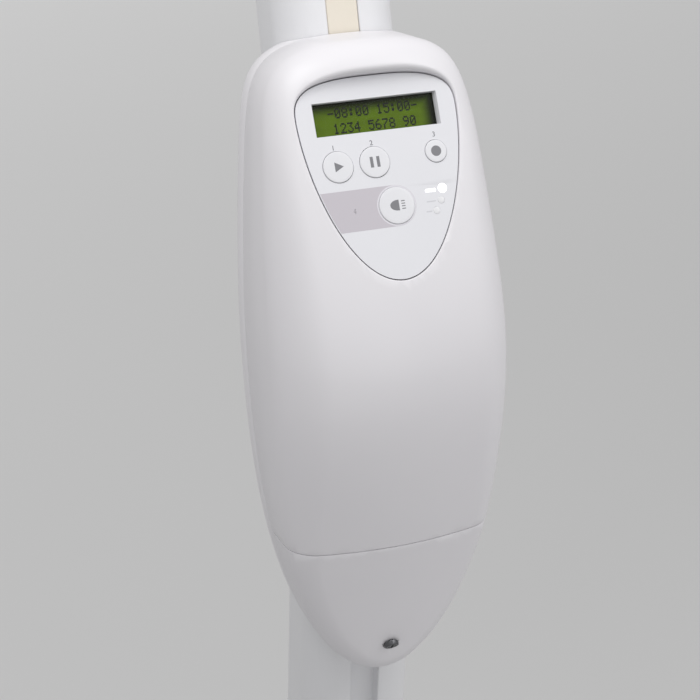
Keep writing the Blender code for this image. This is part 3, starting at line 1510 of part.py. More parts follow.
def make_spring_arm(pitch):
    """A channel open below, with an eye on a tongue at each end."""
    length = SPRING_ARM_LENGTH
    half, wall = CHANNEL_WIDTH / 2, CHANNEL_WALL
    steps = 3
    outline = [(half, -CHANNEL_DROP)]
    for corner, side in ((0, 1), (1, -1)):
        for step in range(steps + 1):
            turn = math.pi / 2 * (corner + step / steps)
            x = side * (half - CHANNEL_ROUND) + CHANNEL_ROUND * math.cos(turn)
            outline.append((x, CHANNEL_RISE - CHANNEL_ROUND + CHANNEL_ROUND * math.sin(turn)))
    outline.append((-half, -CHANNEL_DROP))
    start, end = CHANNEL_START, length - CHANNEL_START
    channel = shelled_channel("spring_arm", outline, start, end, wall)
    tongue_width = CHEEK_GAP - 2 * RUNNING_GAP
    high = CHANNEL_RISE - wall / 2
    side = Matrix.Rotation(math.pi / 2, 4, "X")
    for x, inward in ((0, 1), (length, -1)):
        eye_end = eye("arm_eye", UPPER_EYE_RADIUS, tongue_width, (x, 0))
        reach = CHANNEL_START + CHANNEL_RISE
        tongue_outline = [
            (x, 0),
            (x + inward * reach, 0),
            (x + inward * reach, high),
            (x + inward * UPPER_EYE_RADIUS, high),
            (x, UPPER_EYE_RADIUS - GAP),
        ]
        tongue = plate("arm_tongue", [tongue_outline], -tongue_width / 2, tongue_width / 2, side)
        join(channel, eye_end, tongue)
    merged(channel)
    for x in (0, length):
        cut(channel, pin_hole("arm_pin_hole", (x, 0), half))
    return piece("spring_arm", channel, "white_enamel", pitch)


def shelled_channel(name, outline, start, end, wall):
    """An open outline run along x, with its wall inside it."""
    shape = bmesh.new()
    loops = [[shape.verts.new((x, y, z)) for y, z in outline] for x in (start, end)]
    for index in range(len(outline) - 1):
        near, far = loops
        shape.faces.new((near[index], near[index + 1], far[index + 1], far[index]))
    mesh = bpy.data.meshes.new(name)
    shape.to_mesh(mesh)
    shape.free()
    return shelled(tool_object(name, mesh), wall)


def make_parallel_link(link):
    length = SPRING_ARM_LENGTH
    half_height = LINK_HEIGHT / 2
    bar = block("parallel_link", (0, -LINK_WIDTH / 2, -half_height), (length, LINK_WIDTH / 2, half_height))
    width = CHEEK_GAP - 2 * RUNNING_GAP
    join(bar, eye("link_eye", LOWER_EYE_RADIUS, width, (0, 0)))
    join(bar, eye("link_eye", LOWER_EYE_RADIUS, width, (length, 0)))
    merged(bar)
    near_hole = pin_hole("link_pin_hole", (0, 0), width)
    open_hole = rod(
        "link_open_hole",
        PIVOT_PIN_RADIUS + OPEN_PIVOT_GAP,
        (length, -width, 0),
        (length, width, 0),
        12,
    )
    cut(bar, near_hole, open_hole)
    return piece("parallel_link", bar, "steel_zinc", link)


def make_balance_spring(pitch):
    """Gas spring that lies in the channel, under its roof."""
    height = CHANNEL_RISE - CHANNEL_WALL - SPRING_RADIUS - GAP
    middle = SPRING_ARM_LENGTH / 2
    start, end = middle - SPRING_LENGTH / 2, middle + SPRING_LENGTH / 2
    rod_radius = SPRING_RADIUS * 0.45
    profile = [
        (0, 0),
        (rod_radius, 0),
        (rod_radius, -SPRING_LENGTH * 0.25),
        (SPRING_RADIUS, -SPRING_LENGTH * 0.25),
        (SPRING_RADIUS, -SPRING_LENGTH),
        (0, -SPRING_LENGTH),
    ]
    turn = Matrix.Translation((end, 0, height)) @ Matrix.Rotation(math.pi / 2, 4, "Y")
    spring = turned("balance_spring", profile, 16, turn)
    return piece("balance_spring", spring, "steel_dark", pitch)


def make_end_bracket(level):
    """Level end of the parallelogram: cheeks round the eyes and a boss for the yaw stem."""
    foot = -PIVOT_PITCH - CHEEK_RADIUS
    bracket = cheeks("end_bracket", -PIVOT_PITCH, 0, foot)
    half = CHEEK_GAP / 2 + CHEEK_THICKNESS
    width, high = half - GAP, foot + YAW_BOSS_HEIGHT - GAP
    back = block("end_back", (CHEEK_RADIUS - GAP, -width, foot + GAP), (YAW_OFFSET, width, high))
    boss_low, boss_high = (YAW_OFFSET, 0, foot), (YAW_OFFSET, 0, foot + YAW_BOSS_HEIGHT)
    boss = rod("yaw_boss", YAW_BOSS_RADIUS, boss_low, boss_high, 20)
    merged(join(bracket, back, boss))
    bore_low = (YAW_OFFSET, 0, foot - OVERRUN)
    bore_high = (YAW_OFFSET, 0, foot + YAW_STEM_LENGTH + RUNNING_GAP)
    cut(bracket, rod("yaw_bore", YAW_STEM_RADIUS + RUNNING_GAP, bore_low, bore_high, 16))
    return piece("end_bracket", bracket, "white_enamel", level)


# Lamp head
def make_yoke(yaw):
    """A strap bent into a fork, hung on its stem, with a pin inside each arm."""
    inner, thick, corner = YOKE_SPREAD, YOKE_THICKNESS, YOKE_CORNER
    foot = -YOKE_DROP - YOKE_WIDTH / 2
    outline = yoke_outline(inner, thick, corner, foot, 5)
    yoke = plate("head_yoke", [outline], -YOKE_WIDTH / 2, YOKE_WIDTH / 2, upright())
    join(yoke, rod("yaw_stem", YAW_STEM_RADIUS, (0, 0, -thick / 2), (0, 0, YAW_STEM_LENGTH), 16))
    for side in (-1, 1):
        start, end = side * (inner + thick / 2), side * (inner - TRUNNION_LENGTH)
        pin = rod("yoke_pin", TRUNNION_RADIUS, (start, 0, -YOKE_DROP), (end, 0, -YOKE_DROP), 16)
        join(yoke, pin)
    return piece("head_yoke", yoke, "white_enamel", yaw)


def yoke_outline(inner, thick, corner, foot, steps):
    """The strap's edge: up the outside, over the crown, and back round the inside."""
    turns = [math.pi / 2 * step / steps for step in range(steps + 1)]
    centre_x, centre_z = inner + thick - corner, -corner
    outer = [(centre_x + corner * math.cos(a), centre_z + corner * math.sin(a)) for a in turns]
    bend = corner - thick
    inside = [(centre_x + bend * math.cos(a), centre_z + bend * math.sin(a)) for a in turns]
    half = [(inner + thick, foot)] + outer
    inner_half = [(inner, foot)] + inside
    left = [(-x, z) for x, z in reversed(half)]
    inner_left = [(-x, z) for x, z in inner_half]
    return half + left + inner_left + inner_half[::-1]


def front_shell_radius(forward):
    """Outer radius of the front shell at a distance forward of the tilt axis."""
    reach = HEAD_FRONT_LENGTH - NOSE_COLLAR - HEAD_PARTING
    share = min(1, max(0, (forward - HEAD_PARTING) / reach))
    return NOSE_RADIUS + (HEAD_RADIUS - NOSE_RADIUS) * (1 - share**2.6) ** 0.625


def rear_shell_radius(back):
    """Outer radius of the rear shell at a distance behind the tilt axis."""
    share = (back + HEAD_PARTING) / (HEAD_REAR_LENGTH + HEAD_PARTING)
    return HEAD_RADIUS * (1 - share**5) ** (1 / 3)


def facing_front():
    """Turns a shape that was drawn upwards to face the way the light goes."""
    return Matrix.Rotation(math.pi / 2, 4, "X")


def facing_rear():
    return Matrix.Rotation(-math.pi / 2, 4, "X")


def make_front_shell(tilt):
    steps = 6
    profile = [(NOSE_RADIUS, HEAD_FRONT_LENGTH)]
    reach = HEAD_FRONT_LENGTH - NOSE_COLLAR - HEAD_PARTING
    for step in range(steps + 1):
        share = math.cos(math.pi / 2 * step / steps) ** 0.5
        forward = HEAD_PARTING + reach * share
        profile.append((front_shell_radius(forward), forward))
    shell = shelled(turned("head_front_shell", profile, 24, facing_front()), HEAD_WALL)
    return piece("head_front_shell", shell, "white_enamel", tilt)


def make_rear_shell(tilt):
    steps = 6
    reach = HEAD_REAR_LENGTH + HEAD_PARTING
    profile = []
    for step in range(steps + 1):
        turn = math.pi / 2 * (1 - step / steps)
        radius = HEAD_RADIUS * max(0, math.cos(turn)) ** (2 / 3)
        profile.append((radius, reach * math.sin(turn) ** 0.4 - HEAD_PARTING))
    profile[0] = (0, HEAD_REAR_LENGTH)
    profile[-1] = (HEAD_RADIUS, SEAM - HEAD_PARTING)
    shell = shelled(turned("head_rear_shell", profile, 24, facing_rear()), HEAD_WALL)
    merged(shell)
    bores = []
    for side in (-1, 1):
        start = (side * (HEAD_RADIUS - HEAD_WALL * 0.8), 0, 0)
        end = (side * (YOKE_SPREAD - GAP), 0, 0)
        join(shell, rod("trunnion_pad", TRUNNION_PAD, start, end, 20))
        tip = side * (YOKE_SPREAD - TRUNNION_LENGTH - GAP)
        bore_radius = TRUNNION_RADIUS + RUNNING_GAP
        bores.append(rod("trunnion_bore", bore_radius, (tip, 0, 0), (tip + side * OVERRUN, 0, 0), 16))
    merged(shell)
    for index in range(VENT_COUNT):
        turn = Matrix.Rotation(math.tau * index / VENT_COUNT, 4, "Y")
        high = HEAD_REAR_LENGTH + OVERRUN
        half = VENT_WIDTH / 2
        low = HEAD_REAR_LENGTH / 2
        vent = block("vent", (VENT_INNER, low, -half), (VENT_OUTER, high, half))
        vent.data.transform(turn)
        cut(shell, vent)
    cut(shell, *bores)
    return piece("head_rear_shell", shell, "white_enamel", tilt)


def sink_radius():
    return HEAD_RADIUS - HEAD_WALL - SINK_CLEARANCE


def sink_front():
    """Forward distance of the sink's front face: the board lies against it."""
    return SINK_LENGTH / 2


def make_heat_sink(tilt):
    front, rear = sink_front(), sink_front() - SINK_LENGTH
    sink = rod("heat_sink", SINK_CORE_RADIUS, (0, -front, 0), (0, -rear, 0), 24)
    half = FIN_THICKNESS / 2
    base = rod("sink_base", LIGHT_BOARD_RADIUS, (0, -front, 0), (0, -front + HEAD_WALL, 0), 24)
    join(sink, base)
    for index in range(SINK_FINS):
        turn = Matrix.Rotation(math.tau * (index + 0.5) / SINK_FINS, 4, "Y")
        fin = block("fin", (SINK_CORE_RADIUS / 2, -front + GAP, -half), (sink_radius(), -rear - GAP, half))
        fin.data.transform(turn)
        join(sink, fin)
    return piece("heat_sink", sink, "aluminium_bare", tilt)


def make_light_board(tilt):
    back = sink_front() + GAP
    start, end = (0, -back, 0), (0, -back - BOARD_THICKNESS, 0)
    board = rod("light_board", LIGHT_BOARD_RADIUS, start, end, 20)
    face = -back - BOARD_THICKNESS
    half = EMITTER_SIZE / 2
    for x in (-1, 0, 1):
        for z in (-1, 0, 1):
            if x and z:
                continue
            middle_x, middle_z = x * EMITTER_PITCH, z * EMITTER_PITCH
            low = (middle_x - half, face - half, middle_z - half)
            join(board, block("emitter", low, (middle_x + half, face + half / 2, middle_z + half)))
    return piece("light_board", board, "lamp_amber", tilt)


def make_lens(tilt):
    radius = NOSE_RADIUS - HEAD_WALL - GAP
    front = HEAD_FRONT_LENGTH - LENS_RECESS
    bulge = LENS_THICKNESS * 0.4
    profile = [
        (0, front),
        (radius / 2, front - bulge / 4),
        (radius, front - bulge),
        (radius, front - LENS_THICKNESS),
        (0, front - LENS_THICKNESS),
    ]
    return piece("head_lens", turned("head_lens", profile, 24, facing_front()), "lens_blue", tilt)


def make_guide_ring(tilt):
    inner = NOSE_RADIUS + GAP
    outer = inner + RING_THICKNESS
    edge = RING_THICKNESS / 4
    front = HEAD_FRONT_LENGTH + edge
    profile = [
        (inner, front),
        (outer - edge, front),
        (outer, front - edge),
        (outer, front - RING_WIDTH),
        (inner, front - RING_WIDTH),
        (inner, front),
    ]
    ring = turned("guide_ring", profile, 24, facing_front())
    return piece("guide_ring", ring, "grey_moulding", tilt)


def fan_front():
    """Distance behind the tilt axis of the fan's front face."""
    return SINK_LENGTH - sink_front() + GAP


def make_fan_frame(tilt):
    front = fan_front()
    outline = rounded_rectangle(FAN_FRAME_SIZE, FAN_FRAME_SIZE, FAN_FRAME_ROUND, 2)
    bore = circle(FAN_BORE_RADIUS, 24)
    frame = plate("fan_frame", [outline, bore], front, front + FAN_FRAME_DEPTH, facing_rear())
    rear = front + FAN_FRAME_DEPTH
    strut_low, strut_high = rear - FAN_STRUT, rear
    disc = rod("fan_hub_plate", FAN_HUB_RADIUS, (0, strut_low, 0), (0, strut_high, 0), 20)
    join(frame, disc)
    half = FAN_STRUT / 2
    reach = FAN_BORE_RADIUS + half
    for index in range(3):
        turn = Matrix.Rotation(math.tau * index / 3, 4, "Y")
        strut = block("fan_strut", (FAN_HUB_RADIUS / 2, strut_low, -half), (reach, strut_high - GAP, half))
        strut.data.transform(turn)
        join(frame, strut)
    pin_start = (0, strut_low - FAN_HUB_LENGTH, 0)
    join(frame, rod("fan_pin", FAN_SPINDLE_RADIUS, pin_start, (0, strut_high - GAP, 0), 12))
    return piece("fan_frame", frame, "black_moulding", tilt)


def make_fan_rotor(tilt):
    rear = fan_front() + FAN_FRAME_DEPTH - FAN_STRUT - RUNNING_GAP
    front = rear - FAN_HUB_LENGTH
    axis = axis_frame("fan_axis", tilt, Matrix.Translation((0, (front + rear) / 2, 0)))
    half_length = FAN_HUB_LENGTH / 2
    rotor = rod("fan_rotor", FAN_HUB_RADIUS, (0, -half_length, 0), (0, half_length, 0), 20)
    half = FAN_BLADE_THICKNESS / 2
    chord = half_length / math.cos(FAN_BLADE_PITCH) - FAN_BLADE_THICKNESS
    for index in range(FAN_BLADES):
        blade = block("fan_blade", (FAN_HUB_RADIUS * 0.8, -chord, -half), (FAN_ROTOR_RADIUS, chord, half))
        pitch = Matrix.Rotation(FAN_BLADE_PITCH, 4, "X")
        blade.data.transform(Matrix.Rotation(math.tau * index / FAN_BLADES, 4, "Y") @ pitch)
        join(rotor, blade)
    merged(rotor)
    bore_radius = FAN_SPINDLE_RADIUS + RUNNING_GAP
    bore = rod("rotor_bore", bore_radius, (0, -half_length - OVERRUN, 0), (0, half_length + OVERRUN, 0), 12)
    cut(rotor, bore)
    return piece("fan_rotor", rotor, "black_moulding", axis)


def make_handle(tilt):
    """A bar bent under the rear shell, with a pad at each end."""
    low = -HEAD_RADIUS - HANDLE_DROP
    tops = [-rear_shell_radius(y - HANDLE_PAD) - GAP for y in (HANDLE_FRONT, HANDLE_REAR)]
    bend = HANDLE_DROP / 3
    points = [
        (0, HANDLE_FRONT, tops[0] - HANDLE_PAD_THICKNESS / 2),
        (0, HANDLE_FRONT, low + bend),
        (0, HANDLE_FRONT + bend, low),
        (0, HANDLE_REAR - bend, low),
        (0, HANDLE_REAR, low + bend),
        (0, HANDLE_REAR, tops[1] - HANDLE_PAD_THICKNESS / 2),
    ]
    handle = tube("head_handle", points, HANDLE_RADIUS)
    for y, top in zip((HANDLE_FRONT, HANDLE_REAR), tops):
        start, end = (0, y, top - HANDLE_PAD_THICKNESS), (0, y, top)
        join(handle, rod("handle_pad", HANDLE_PAD, start, end, 12))
    return piece("head_handle", handle, "grey_moulding", tilt)


# Assembly
def stand_back():
    """How far back the base's middle lies, which centres the lamp's box on the origin."""
    front = LEG_REACH + pedal_place().translation.x + PEDAL_LENGTH
    spread = math.tau / LEG_COUNT / 2
    rear = front * math.cos(spread) + HOOD_WIDTH / 2 * math.sin(spread)
    return (front - rear) / 2


def make_console(frame):
    panel = axis_frame("panel_frame", frame, panel_place())
    make_front_cover(frame)
    make_lower_cap(frame)
    make_rear_cover(frame)
    make_cap_screw(frame)
    make_panel(panel)
    make_window(panel)
    make_display(panel)
    for key in KEY_SHARES:
        make_key(key, panel)
    for lamp in INDICATOR_SHARES:
        make_indicator(lamp, panel)
    make_key_board(panel)
    make_bracket(frame)
    make_supply(frame)
    make_main_board(frame)


def make_base(frame):
    make_star(frame)
    make_castors(frame)
    make_mast_foot(frame)
    make_base_cover(frame)


def make_power_entry(frame):
    entry = axis_frame("power_entry_frame", frame, inlet_place())
    make_inlet(entry)
    make_fuse_drawer(entry)
    make_rocker(entry)


def make_arms(frame):
    """Each joint's empty carries what lies beyond it."""
    spindle = spindle_place()
    turret_place = Matrix.Translation((0, spindle.y, arm_level()))
    turret = axis_frame("turret_axis", frame, turret_place)
    make_extension_arm(turret)
    elbow_top = elbow_offset() + Vector((0, 0, ARM_HUB_HEIGHT + GAP))
    elbow = axis_frame("elbow_axis", turret, Matrix.Translation(elbow_top))
    make_elbow_bracket(elbow)
    link = axis_frame("link_axis", elbow, Matrix.Translation((0, 0, PIVOT_RISE)))
    make_parallel_link(link)
    pitch = axis_frame("pitch_axis", elbow, Matrix.Translation((0, 0, PIVOT_RISE + PIVOT_PITCH)))
    make_spring_arm(pitch)
    make_balance_spring(pitch)
    level = axis_frame("level_axis", pitch, Matrix.Translation((SPRING_ARM_LENGTH, 0, 0)))
    make_end_bracket(level)
    foot = -PIVOT_PITCH - CHEEK_RADIUS - GAP
    return axis_frame("head_yaw_axis", level, Matrix.Translation((YAW_OFFSET, 0, foot)))


def make_head(yaw):
    make_yoke(yaw)
    tilt = axis_frame("head_tilt_axis", yaw, Matrix.Translation((0, 0, -YOKE_DROP)))
    make_front_shell(tilt)
    make_rear_shell(tilt)
    make_heat_sink(tilt)
    make_light_board(tilt)
    make_lens(tilt)
    make_guide_ring(tilt)
    make_fan_frame(tilt)
    make_fan_rotor(tilt)
    make_handle(tilt)


stand = axis_frame("stand_frame", None, Matrix.Translation((0, stand_back(), 0)))
console_frame = axis_frame("console_frame", stand, console_place())
make_console(console_frame)
make_mast(console_frame)
make_trim(console_frame)
make_base(stand)
make_power_entry(stand)
make_mast_head(stand)
make_head(make_arms(stand))
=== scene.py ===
import math

import bmesh
import bpy
from mathutils import Matrix, Vector
from mathutils.bvhtree import BVHTree


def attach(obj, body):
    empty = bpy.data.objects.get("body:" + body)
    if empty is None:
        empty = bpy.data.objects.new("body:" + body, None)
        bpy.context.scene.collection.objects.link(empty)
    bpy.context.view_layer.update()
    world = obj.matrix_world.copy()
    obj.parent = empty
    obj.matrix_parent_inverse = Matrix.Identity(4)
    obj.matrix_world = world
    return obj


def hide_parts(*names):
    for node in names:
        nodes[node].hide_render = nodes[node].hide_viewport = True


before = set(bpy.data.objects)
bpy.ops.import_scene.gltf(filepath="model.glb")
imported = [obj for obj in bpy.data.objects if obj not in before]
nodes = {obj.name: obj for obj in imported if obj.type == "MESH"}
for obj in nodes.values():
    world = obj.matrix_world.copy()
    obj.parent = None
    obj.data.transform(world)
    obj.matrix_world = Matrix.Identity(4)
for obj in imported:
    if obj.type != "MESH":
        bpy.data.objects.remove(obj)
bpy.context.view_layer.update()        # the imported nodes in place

mm = 0.001
print("scene: frame loaded,", len(nodes), "nodes")


# Small tools for colours, shader nodes and meshes
def linear(hexText):
    channels = [int(hexText[i:i + 2], 16) / 255 for i in (0, 2, 4)]
    return tuple(c / 12.92 if c <= 0.04045 else ((c + 0.055) / 1.055) ** 2.4 for c in channels) + (1.0,)


def addNode(tree, kind, sockets=None, **settings):
    node = tree.nodes.new(kind)
    for name, value in settings.items():
        setattr(node, name, value)
    for name, value in (sockets or {}).items():
        if isinstance(value, bpy.types.NodeSocket):
            tree.links.new(value, node.inputs[name])
        else:
            node.inputs[name].default_value = value
    return node


def newMaterial(name):
    material = bpy.data.materials.new(name)
    material.use_nodes = True
    tree = material.node_tree
    tree.nodes.clear()
    shader = addNode(tree, "ShaderNodeBsdfPrincipled")
    addNode(tree, "ShaderNodeOutputMaterial", {"Surface": shader.outputs[0]})
    return material, tree, shader


def placeIn(tree, kind="Object"):
    return addNode(tree, "ShaderNodeTexCoord").outputs[kind]


def addNoise(tree, place, scale, detail=3.0, roughness=0.5):
    sockets = {"Vector": place, "Scale": scale, "Detail": detail, "Roughness": roughness}
    return addNode(tree, "ShaderNodeTexNoise", sockets).outputs[0]


def remap(tree, value, start=0.0, end=1.0, low=0.0, high=1.0, **settings):
    # what runs from start to end then runs from low to high
    sockets = {"Value": value, "From Min": start, "From Max": end, "To Min": low, "To Max": high}
    return addNode(tree, "ShaderNodeMapRange", sockets, **settings).outputs[0]


def mixColours(tree, share, first, second):
    # all of the second colour where the share is 1
    return addNode(tree, "ShaderNodeMix", {0: share, 6: first, 7: second}, data_type="RGBA").outputs[2]


def larger(tree, first, second):
    return addNode(tree, "ShaderNodeMath", {0: first, 1: second}, operation="MAXIMUM").outputs[0]


def along(tree, place, direction):
    # how far a place lies along a direction
    node = addNode(tree, "ShaderNodeVectorMath", {0: place, 1: direction}, operation="DOT_PRODUCT")
    return node.outputs["Value"]


# What a finish has unless it says otherwise
usualLook = {"driftMm": 60, "stretch": (1, 1, 1), "speck": 0.12, "wear": 0.35, "relief": 0.25,
             "depthMm": 0.02, "metallic": 0.0, "ior": 1.5}


def makeFinish(name, own):
    look = {**usualLook, **own}
    material, tree, shader = newMaterial(name)
    place = placeIn(tree)
    colour, shade = linear(look["colour"]), linear(look["shade"])
    # slow drift of tone over a hand's width
    drift = addNoise(tree, place, 1 / (look["driftMm"] * mm))
    # close grain of the mould, brush or paint
    stretched = addNode(tree, "ShaderNodeMapping", {"Vector": place, "Scale": look["stretch"]}).outputs[0]
    grain = addNoise(tree, stretched, 1 / (look["grainMm"] * mm), detail=4.0, roughness=0.6)
    speck = remap(tree, grain, start=0.35, end=0.65, high=look["speck"])
    flecked = mixColours(tree, speck, mixColours(tree, drift, colour, shade), shade)
    # edges rubbed towards their own colour
    pointed = addNode(tree, "ShaderNodeNewGeometry").outputs["Pointiness"]
    worn = remap(tree, pointed, start=0.53, end=0.62, high=look["wear"])
    edged = mixColours(tree, worn, flecked, linear(look.get("edge", look["colour"])))
    gloss = remap(tree, drift, low=look["roughness"] - 0.05, high=look["roughness"] + 0.05)
    sockets = {"Height": grain, "Strength": look["relief"], "Distance": look["depthMm"] * mm}
    relief = addNode(tree, "ShaderNodeBump", sockets).outputs[0]
    tree.links.new(edged, shader.inputs["Base Color"])
    tree.links.new(gloss, shader.inputs["Roughness"])
    tree.links.new(relief, shader.inputs["Normal"])
    shader.inputs["Metallic"].default_value = look["metallic"]
    if not look["metallic"]:
        shader.inputs["IOR"].default_value = look["ior"]
    return material


mouldedAbs = makeFinish("mouldedAbs", {  # satin white mouldings with a fine spark-eroded skin
    "colour": "E6E4E7", "shade": "DEDCE0", "edge": "F0EFF1", "grainMm": 0.35, "roughness": 0.42,
    "depthMm": 0.012, "relief": 0.22, "driftMm": 90, "speck": 0.10, "wear": 0.3, "ior": 1.53})
powderCoat = makeFinish("powderCoat", {  # white powder coat with a soft orange peel
    "colour": "E3E3E4", "shade": "DADADC", "edge": "F0F0F0", "grainMm": 1.6, "roughness": 0.38,
    "depthMm": 0.03, "relief": 0.18, "driftMm": 70, "speck": 0.08, "wear": 0.3})
enamelledAluminium = makeFinish("enamelledAluminium", {  # the mast: drawn profile under white enamel
    "colour": "E4E4E6", "shade": "DCDCDF", "edge": "EFEFF0", "grainMm": 1.1, "roughness": 0.36,
    "relief": 0.16, "driftMm": 80, "speck": 0.08, "wear": 0.3, "stretch": (1, 1, 0.12)})
creamVinyl = makeFinish("creamVinyl", {  # yellowed filler strip, duller than the mast
    "colour": "E4DDD0", "shade": "DAD2C4", "edge": "EEE7DA", "grainMm": 0.5, "roughness": 0.6,
    "driftMm": 40, "speck": 0.15, "stretch": (1, 1, 0.2)})
matteFilm = makeFinish("matteFilm", {  # velvet-textured polyester overlay
    "colour": "DDDDE1", "shade": "D7D7DC", "edge": "E8E8EB", "grainMm": 0.16, "roughness": 0.5,
    "depthMm": 0.006, "relief": 0.2, "driftMm": 50, "speck": 0.08, "wear": 0.2})
keyFilm = makeFinish("keyFilm", {  # the same film, domed and rubbed a little brighter
    "colour": "E1E1E4", "shade": "DBDBDF", "edge": "F2F2F3", "grainMm": 0.16, "roughness": 0.42,
    "depthMm": 0.006, "relief": 0.2, "driftMm": 12, "speck": 0.08, "wear": 0.3})
turnedAluminium = makeFinish("turnedAluminium", {  # bare metal with fine tool marks
    "colour": "C6C8CB", "shade": "B4B7BB", "edge": "DCDDDF", "grainMm": 0.5, "roughness": 0.32,
    "depthMm": 0.01, "relief": 0.3, "metallic": 1.0, "speck": 0.3, "stretch": (1, 1, 0.08)})
zincSteel = makeFinish("zincSteel", {  # plated sheet with cloudy spangle
    "colour": "B9BBBE", "shade": "A3A6AB", "edge": "D0D1D3", "grainMm": 2.2, "roughness": 0.38,
    "depthMm": 0.01, "metallic": 1.0, "speck": 0.35})
blackSteel = makeFinish("blackSteel", {  # oiled black screw and gas spring
    "colour": "5C5C5F", "shade": "47474A", "edge": "8C8C8F", "grainMm": 0.3, "roughness": 0.34,
    "depthMm": 0.01, "relief": 0.3, "metallic": 1.0, "speck": 0.3, "wear": 0.6})
greenMask = makeFinish("greenMask", {  # solder mask over woven board
    "colour": "1E6A3C", "shade": "175730", "edge": "B8B27A", "grainMm": 0.4, "roughness": 0.35,
    "relief": 0.3, "speck": 0.3, "stretch": (1, 1, 0.3)})
whiteMask = makeFinish("whiteMask", {  # white mask of the light source board
    "colour": "E8E4D6", "shade": "DDD8C6", "grainMm": 0.4, "roughness": 0.4, "relief": 0.2})
blackNylon = makeFinish("blackNylon", {  # glass-filled black moulding, slightly chalky
    "colour": "26262A", "shade": "1D1D20", "edge": "45454A", "grainMm": 0.45, "roughness": 0.55,
    "depthMm": 0.03, "relief": 0.35, "speck": 0.3, "wear": 0.5})
greyNylon = makeFinish("greyNylon", {  # grey castor and handle moulding
    "colour": "8B8D91", "shade": "7E8084", "edge": "A4A6A9", "grainMm": 0.5, "roughness": 0.5,
    "depthMm": 0.03, "relief": 0.3, "speck": 0.2, "wear": 0.45})
greyRubber = makeFinish("greyRubber", {  # wheel tread, scuffed by the floor
    "colour": "626266", "shade": "545458", "edge": "7C7C80", "grainMm": 0.8, "roughness": 0.75,
    "depthMm": 0.05, "relief": 0.4, "speck": 0.3, "wear": 0.5})
# Screen-printed inks on the film, the first two laid on more strongly
softInk = {"grainMm": 0.12, "roughness": 0.5, "depthMm": 0.004, "speck": 0.1, "wear": 0.0}
strongInk = {**softInk, "roughness": 0.55, "speck": 0.2}
greyInk = makeFinish("greyInk", {**strongInk, "colour": "828286", "shade": "78787C"})  # symbols
darkInk = makeFinish("darkInk", {**strongInk, "colour": "6A6A6F", "shade": "606065"})  # numerals
lilacInk = makeFinish("lilacInk", {**softInk, "colour": "C4BFC5", "shade": "BEB9C0"})  # band at the last key
ringInk = makeFinish("ringInk", {**softInk, "colour": "D9D7DC", "shade": "D4D2D8"})  # ring about that key
paleInk = makeFinish("paleInk", {**softInk, "colour": "CFCFD3", "shade": "C9C9CE"})  # unlit scale marks


def makeAcrylic(name, colour, alpha, roughness, glare, smearMm=9):
    # clear sheet: mostly see-through, with a clean gloss on its face
    material, tree, shader = newMaterial(name)
    smears = addNoise(tree, placeIn(tree), 1 / (smearMm * mm), detail=4.0)
    gloss = remap(tree, smears, low=roughness, high=roughness + 0.08)
    tree.links.new(gloss, shader.inputs["Roughness"])
    shader.inputs["Base Color"].default_value = linear(colour)
    shader.inputs["Alpha"].default_value = alpha
    shader.inputs["IOR"].default_value = 1.49
    shader.inputs["Specular IOR Level"].default_value = glare
    return material


clearAcrylic = makeAcrylic("clearAcrylic", "20241A", 0.1, 0.04, 0.3)
lensAcrylic = makeAcrylic("lensAcrylic", "C7D8EA", 0.45, 0.06, 0.5)


def makeLamp(name, colour, glow, strength, grainMm=0.6):
    # frosted indicator: the moulding scatters its own light
    material, tree, shader = newMaterial(name)
    frost = addNoise(tree, placeIn(tree), 1 / (grainMm * mm))
    tree.links.new(mixColours(tree, frost, linear(colour), linear(glow)), shader.inputs["Base Color"])
    shader.inputs["Roughness"].default_value = 0.3
    shader.inputs["Emission Color"].default_value = linear(glow)
    shader.inputs["Emission Strength"].default_value = strength
    return material


litLed = makeLamp("litLed", "F4F4F6", "FFFFFF", 0.55)
dullLed = makeLamp("dullLed", "DCDCDF", "E4E4E6", 0.0)
print("scene: finishes ready")

# Up to which angle an edge is shaded smooth or dissolved, and how near two points are to become one
flatness = {"smooth": math.radians(32), "dissolve": 0.01, "weld": 0.000002}


def smoothByAngle():
    # node modifier that smooths shading across the flatter edges
    group = bpy.data.node_groups.new("smoothByAngle", "GeometryNodeTree")
    group.interface.new_socket("Geometry", in_out="INPUT", socket_type="NodeSocketGeometry")
    group.interface.new_socket("Geometry", in_out="OUTPUT", socket_type="NodeSocketGeometry")
    start = addNode(group, "NodeGroupInput")
    angle = addNode(group, "GeometryNodeInputMeshEdgeAngle")
    limits = {0: angle.outputs[0], 1: flatness["smooth"]}
    flat = addNode(group, "FunctionNodeCompare", limits, operation="LESS_THAN")
    shade = "GeometryNodeSetShadeSmooth"
    edges = addNode(group, shade, {0: start.outputs[0], 2: flat.outputs[0]}, domain="EDGE")
    faces = addNode(group, shade, {0: edges.outputs[0], 2: True}, domain="FACE")
    addNode(group, "NodeGroupOutput", {0: faces.outputs[0]})
    return group


smoothGroup = smoothByAngle()


def softenEdges(item, width, segments=2, angle=38, marked=False):
    if width:
        bevel = item.modifiers.new("softEdge", "BEVEL")
        bevel.width = width
        bevel.segments = segments
        bevel.limit_method = "WEIGHT" if marked else "ANGLE"
        bevel.angle_limit = math.radians(angle)
        bevel.miter_outer = "MITER_ARC"
    item.modifiers.new("smoothByAngle", "NODES").node_group = smoothGroup
    if width and not marked:
        item.modifiers.new("evenShading", "WEIGHTED_NORMAL").keep_sharp = True


def markEdges(item, matches):
    # edges whose two ends both lie on the wanted plane get the small round
    weights = item.data.attributes.new("bevel_weight_edge", "FLOAT", "EDGE")
    back = consolePlace.inverted()
    onPlane = [matches(back @ vertex.co) for vertex in item.data.vertices]
    for edge in item.data.edges:
        weights.data[edge.index].value = float(onPlane[edge.vertices[0]] and onPlane[edge.vertices[1]])


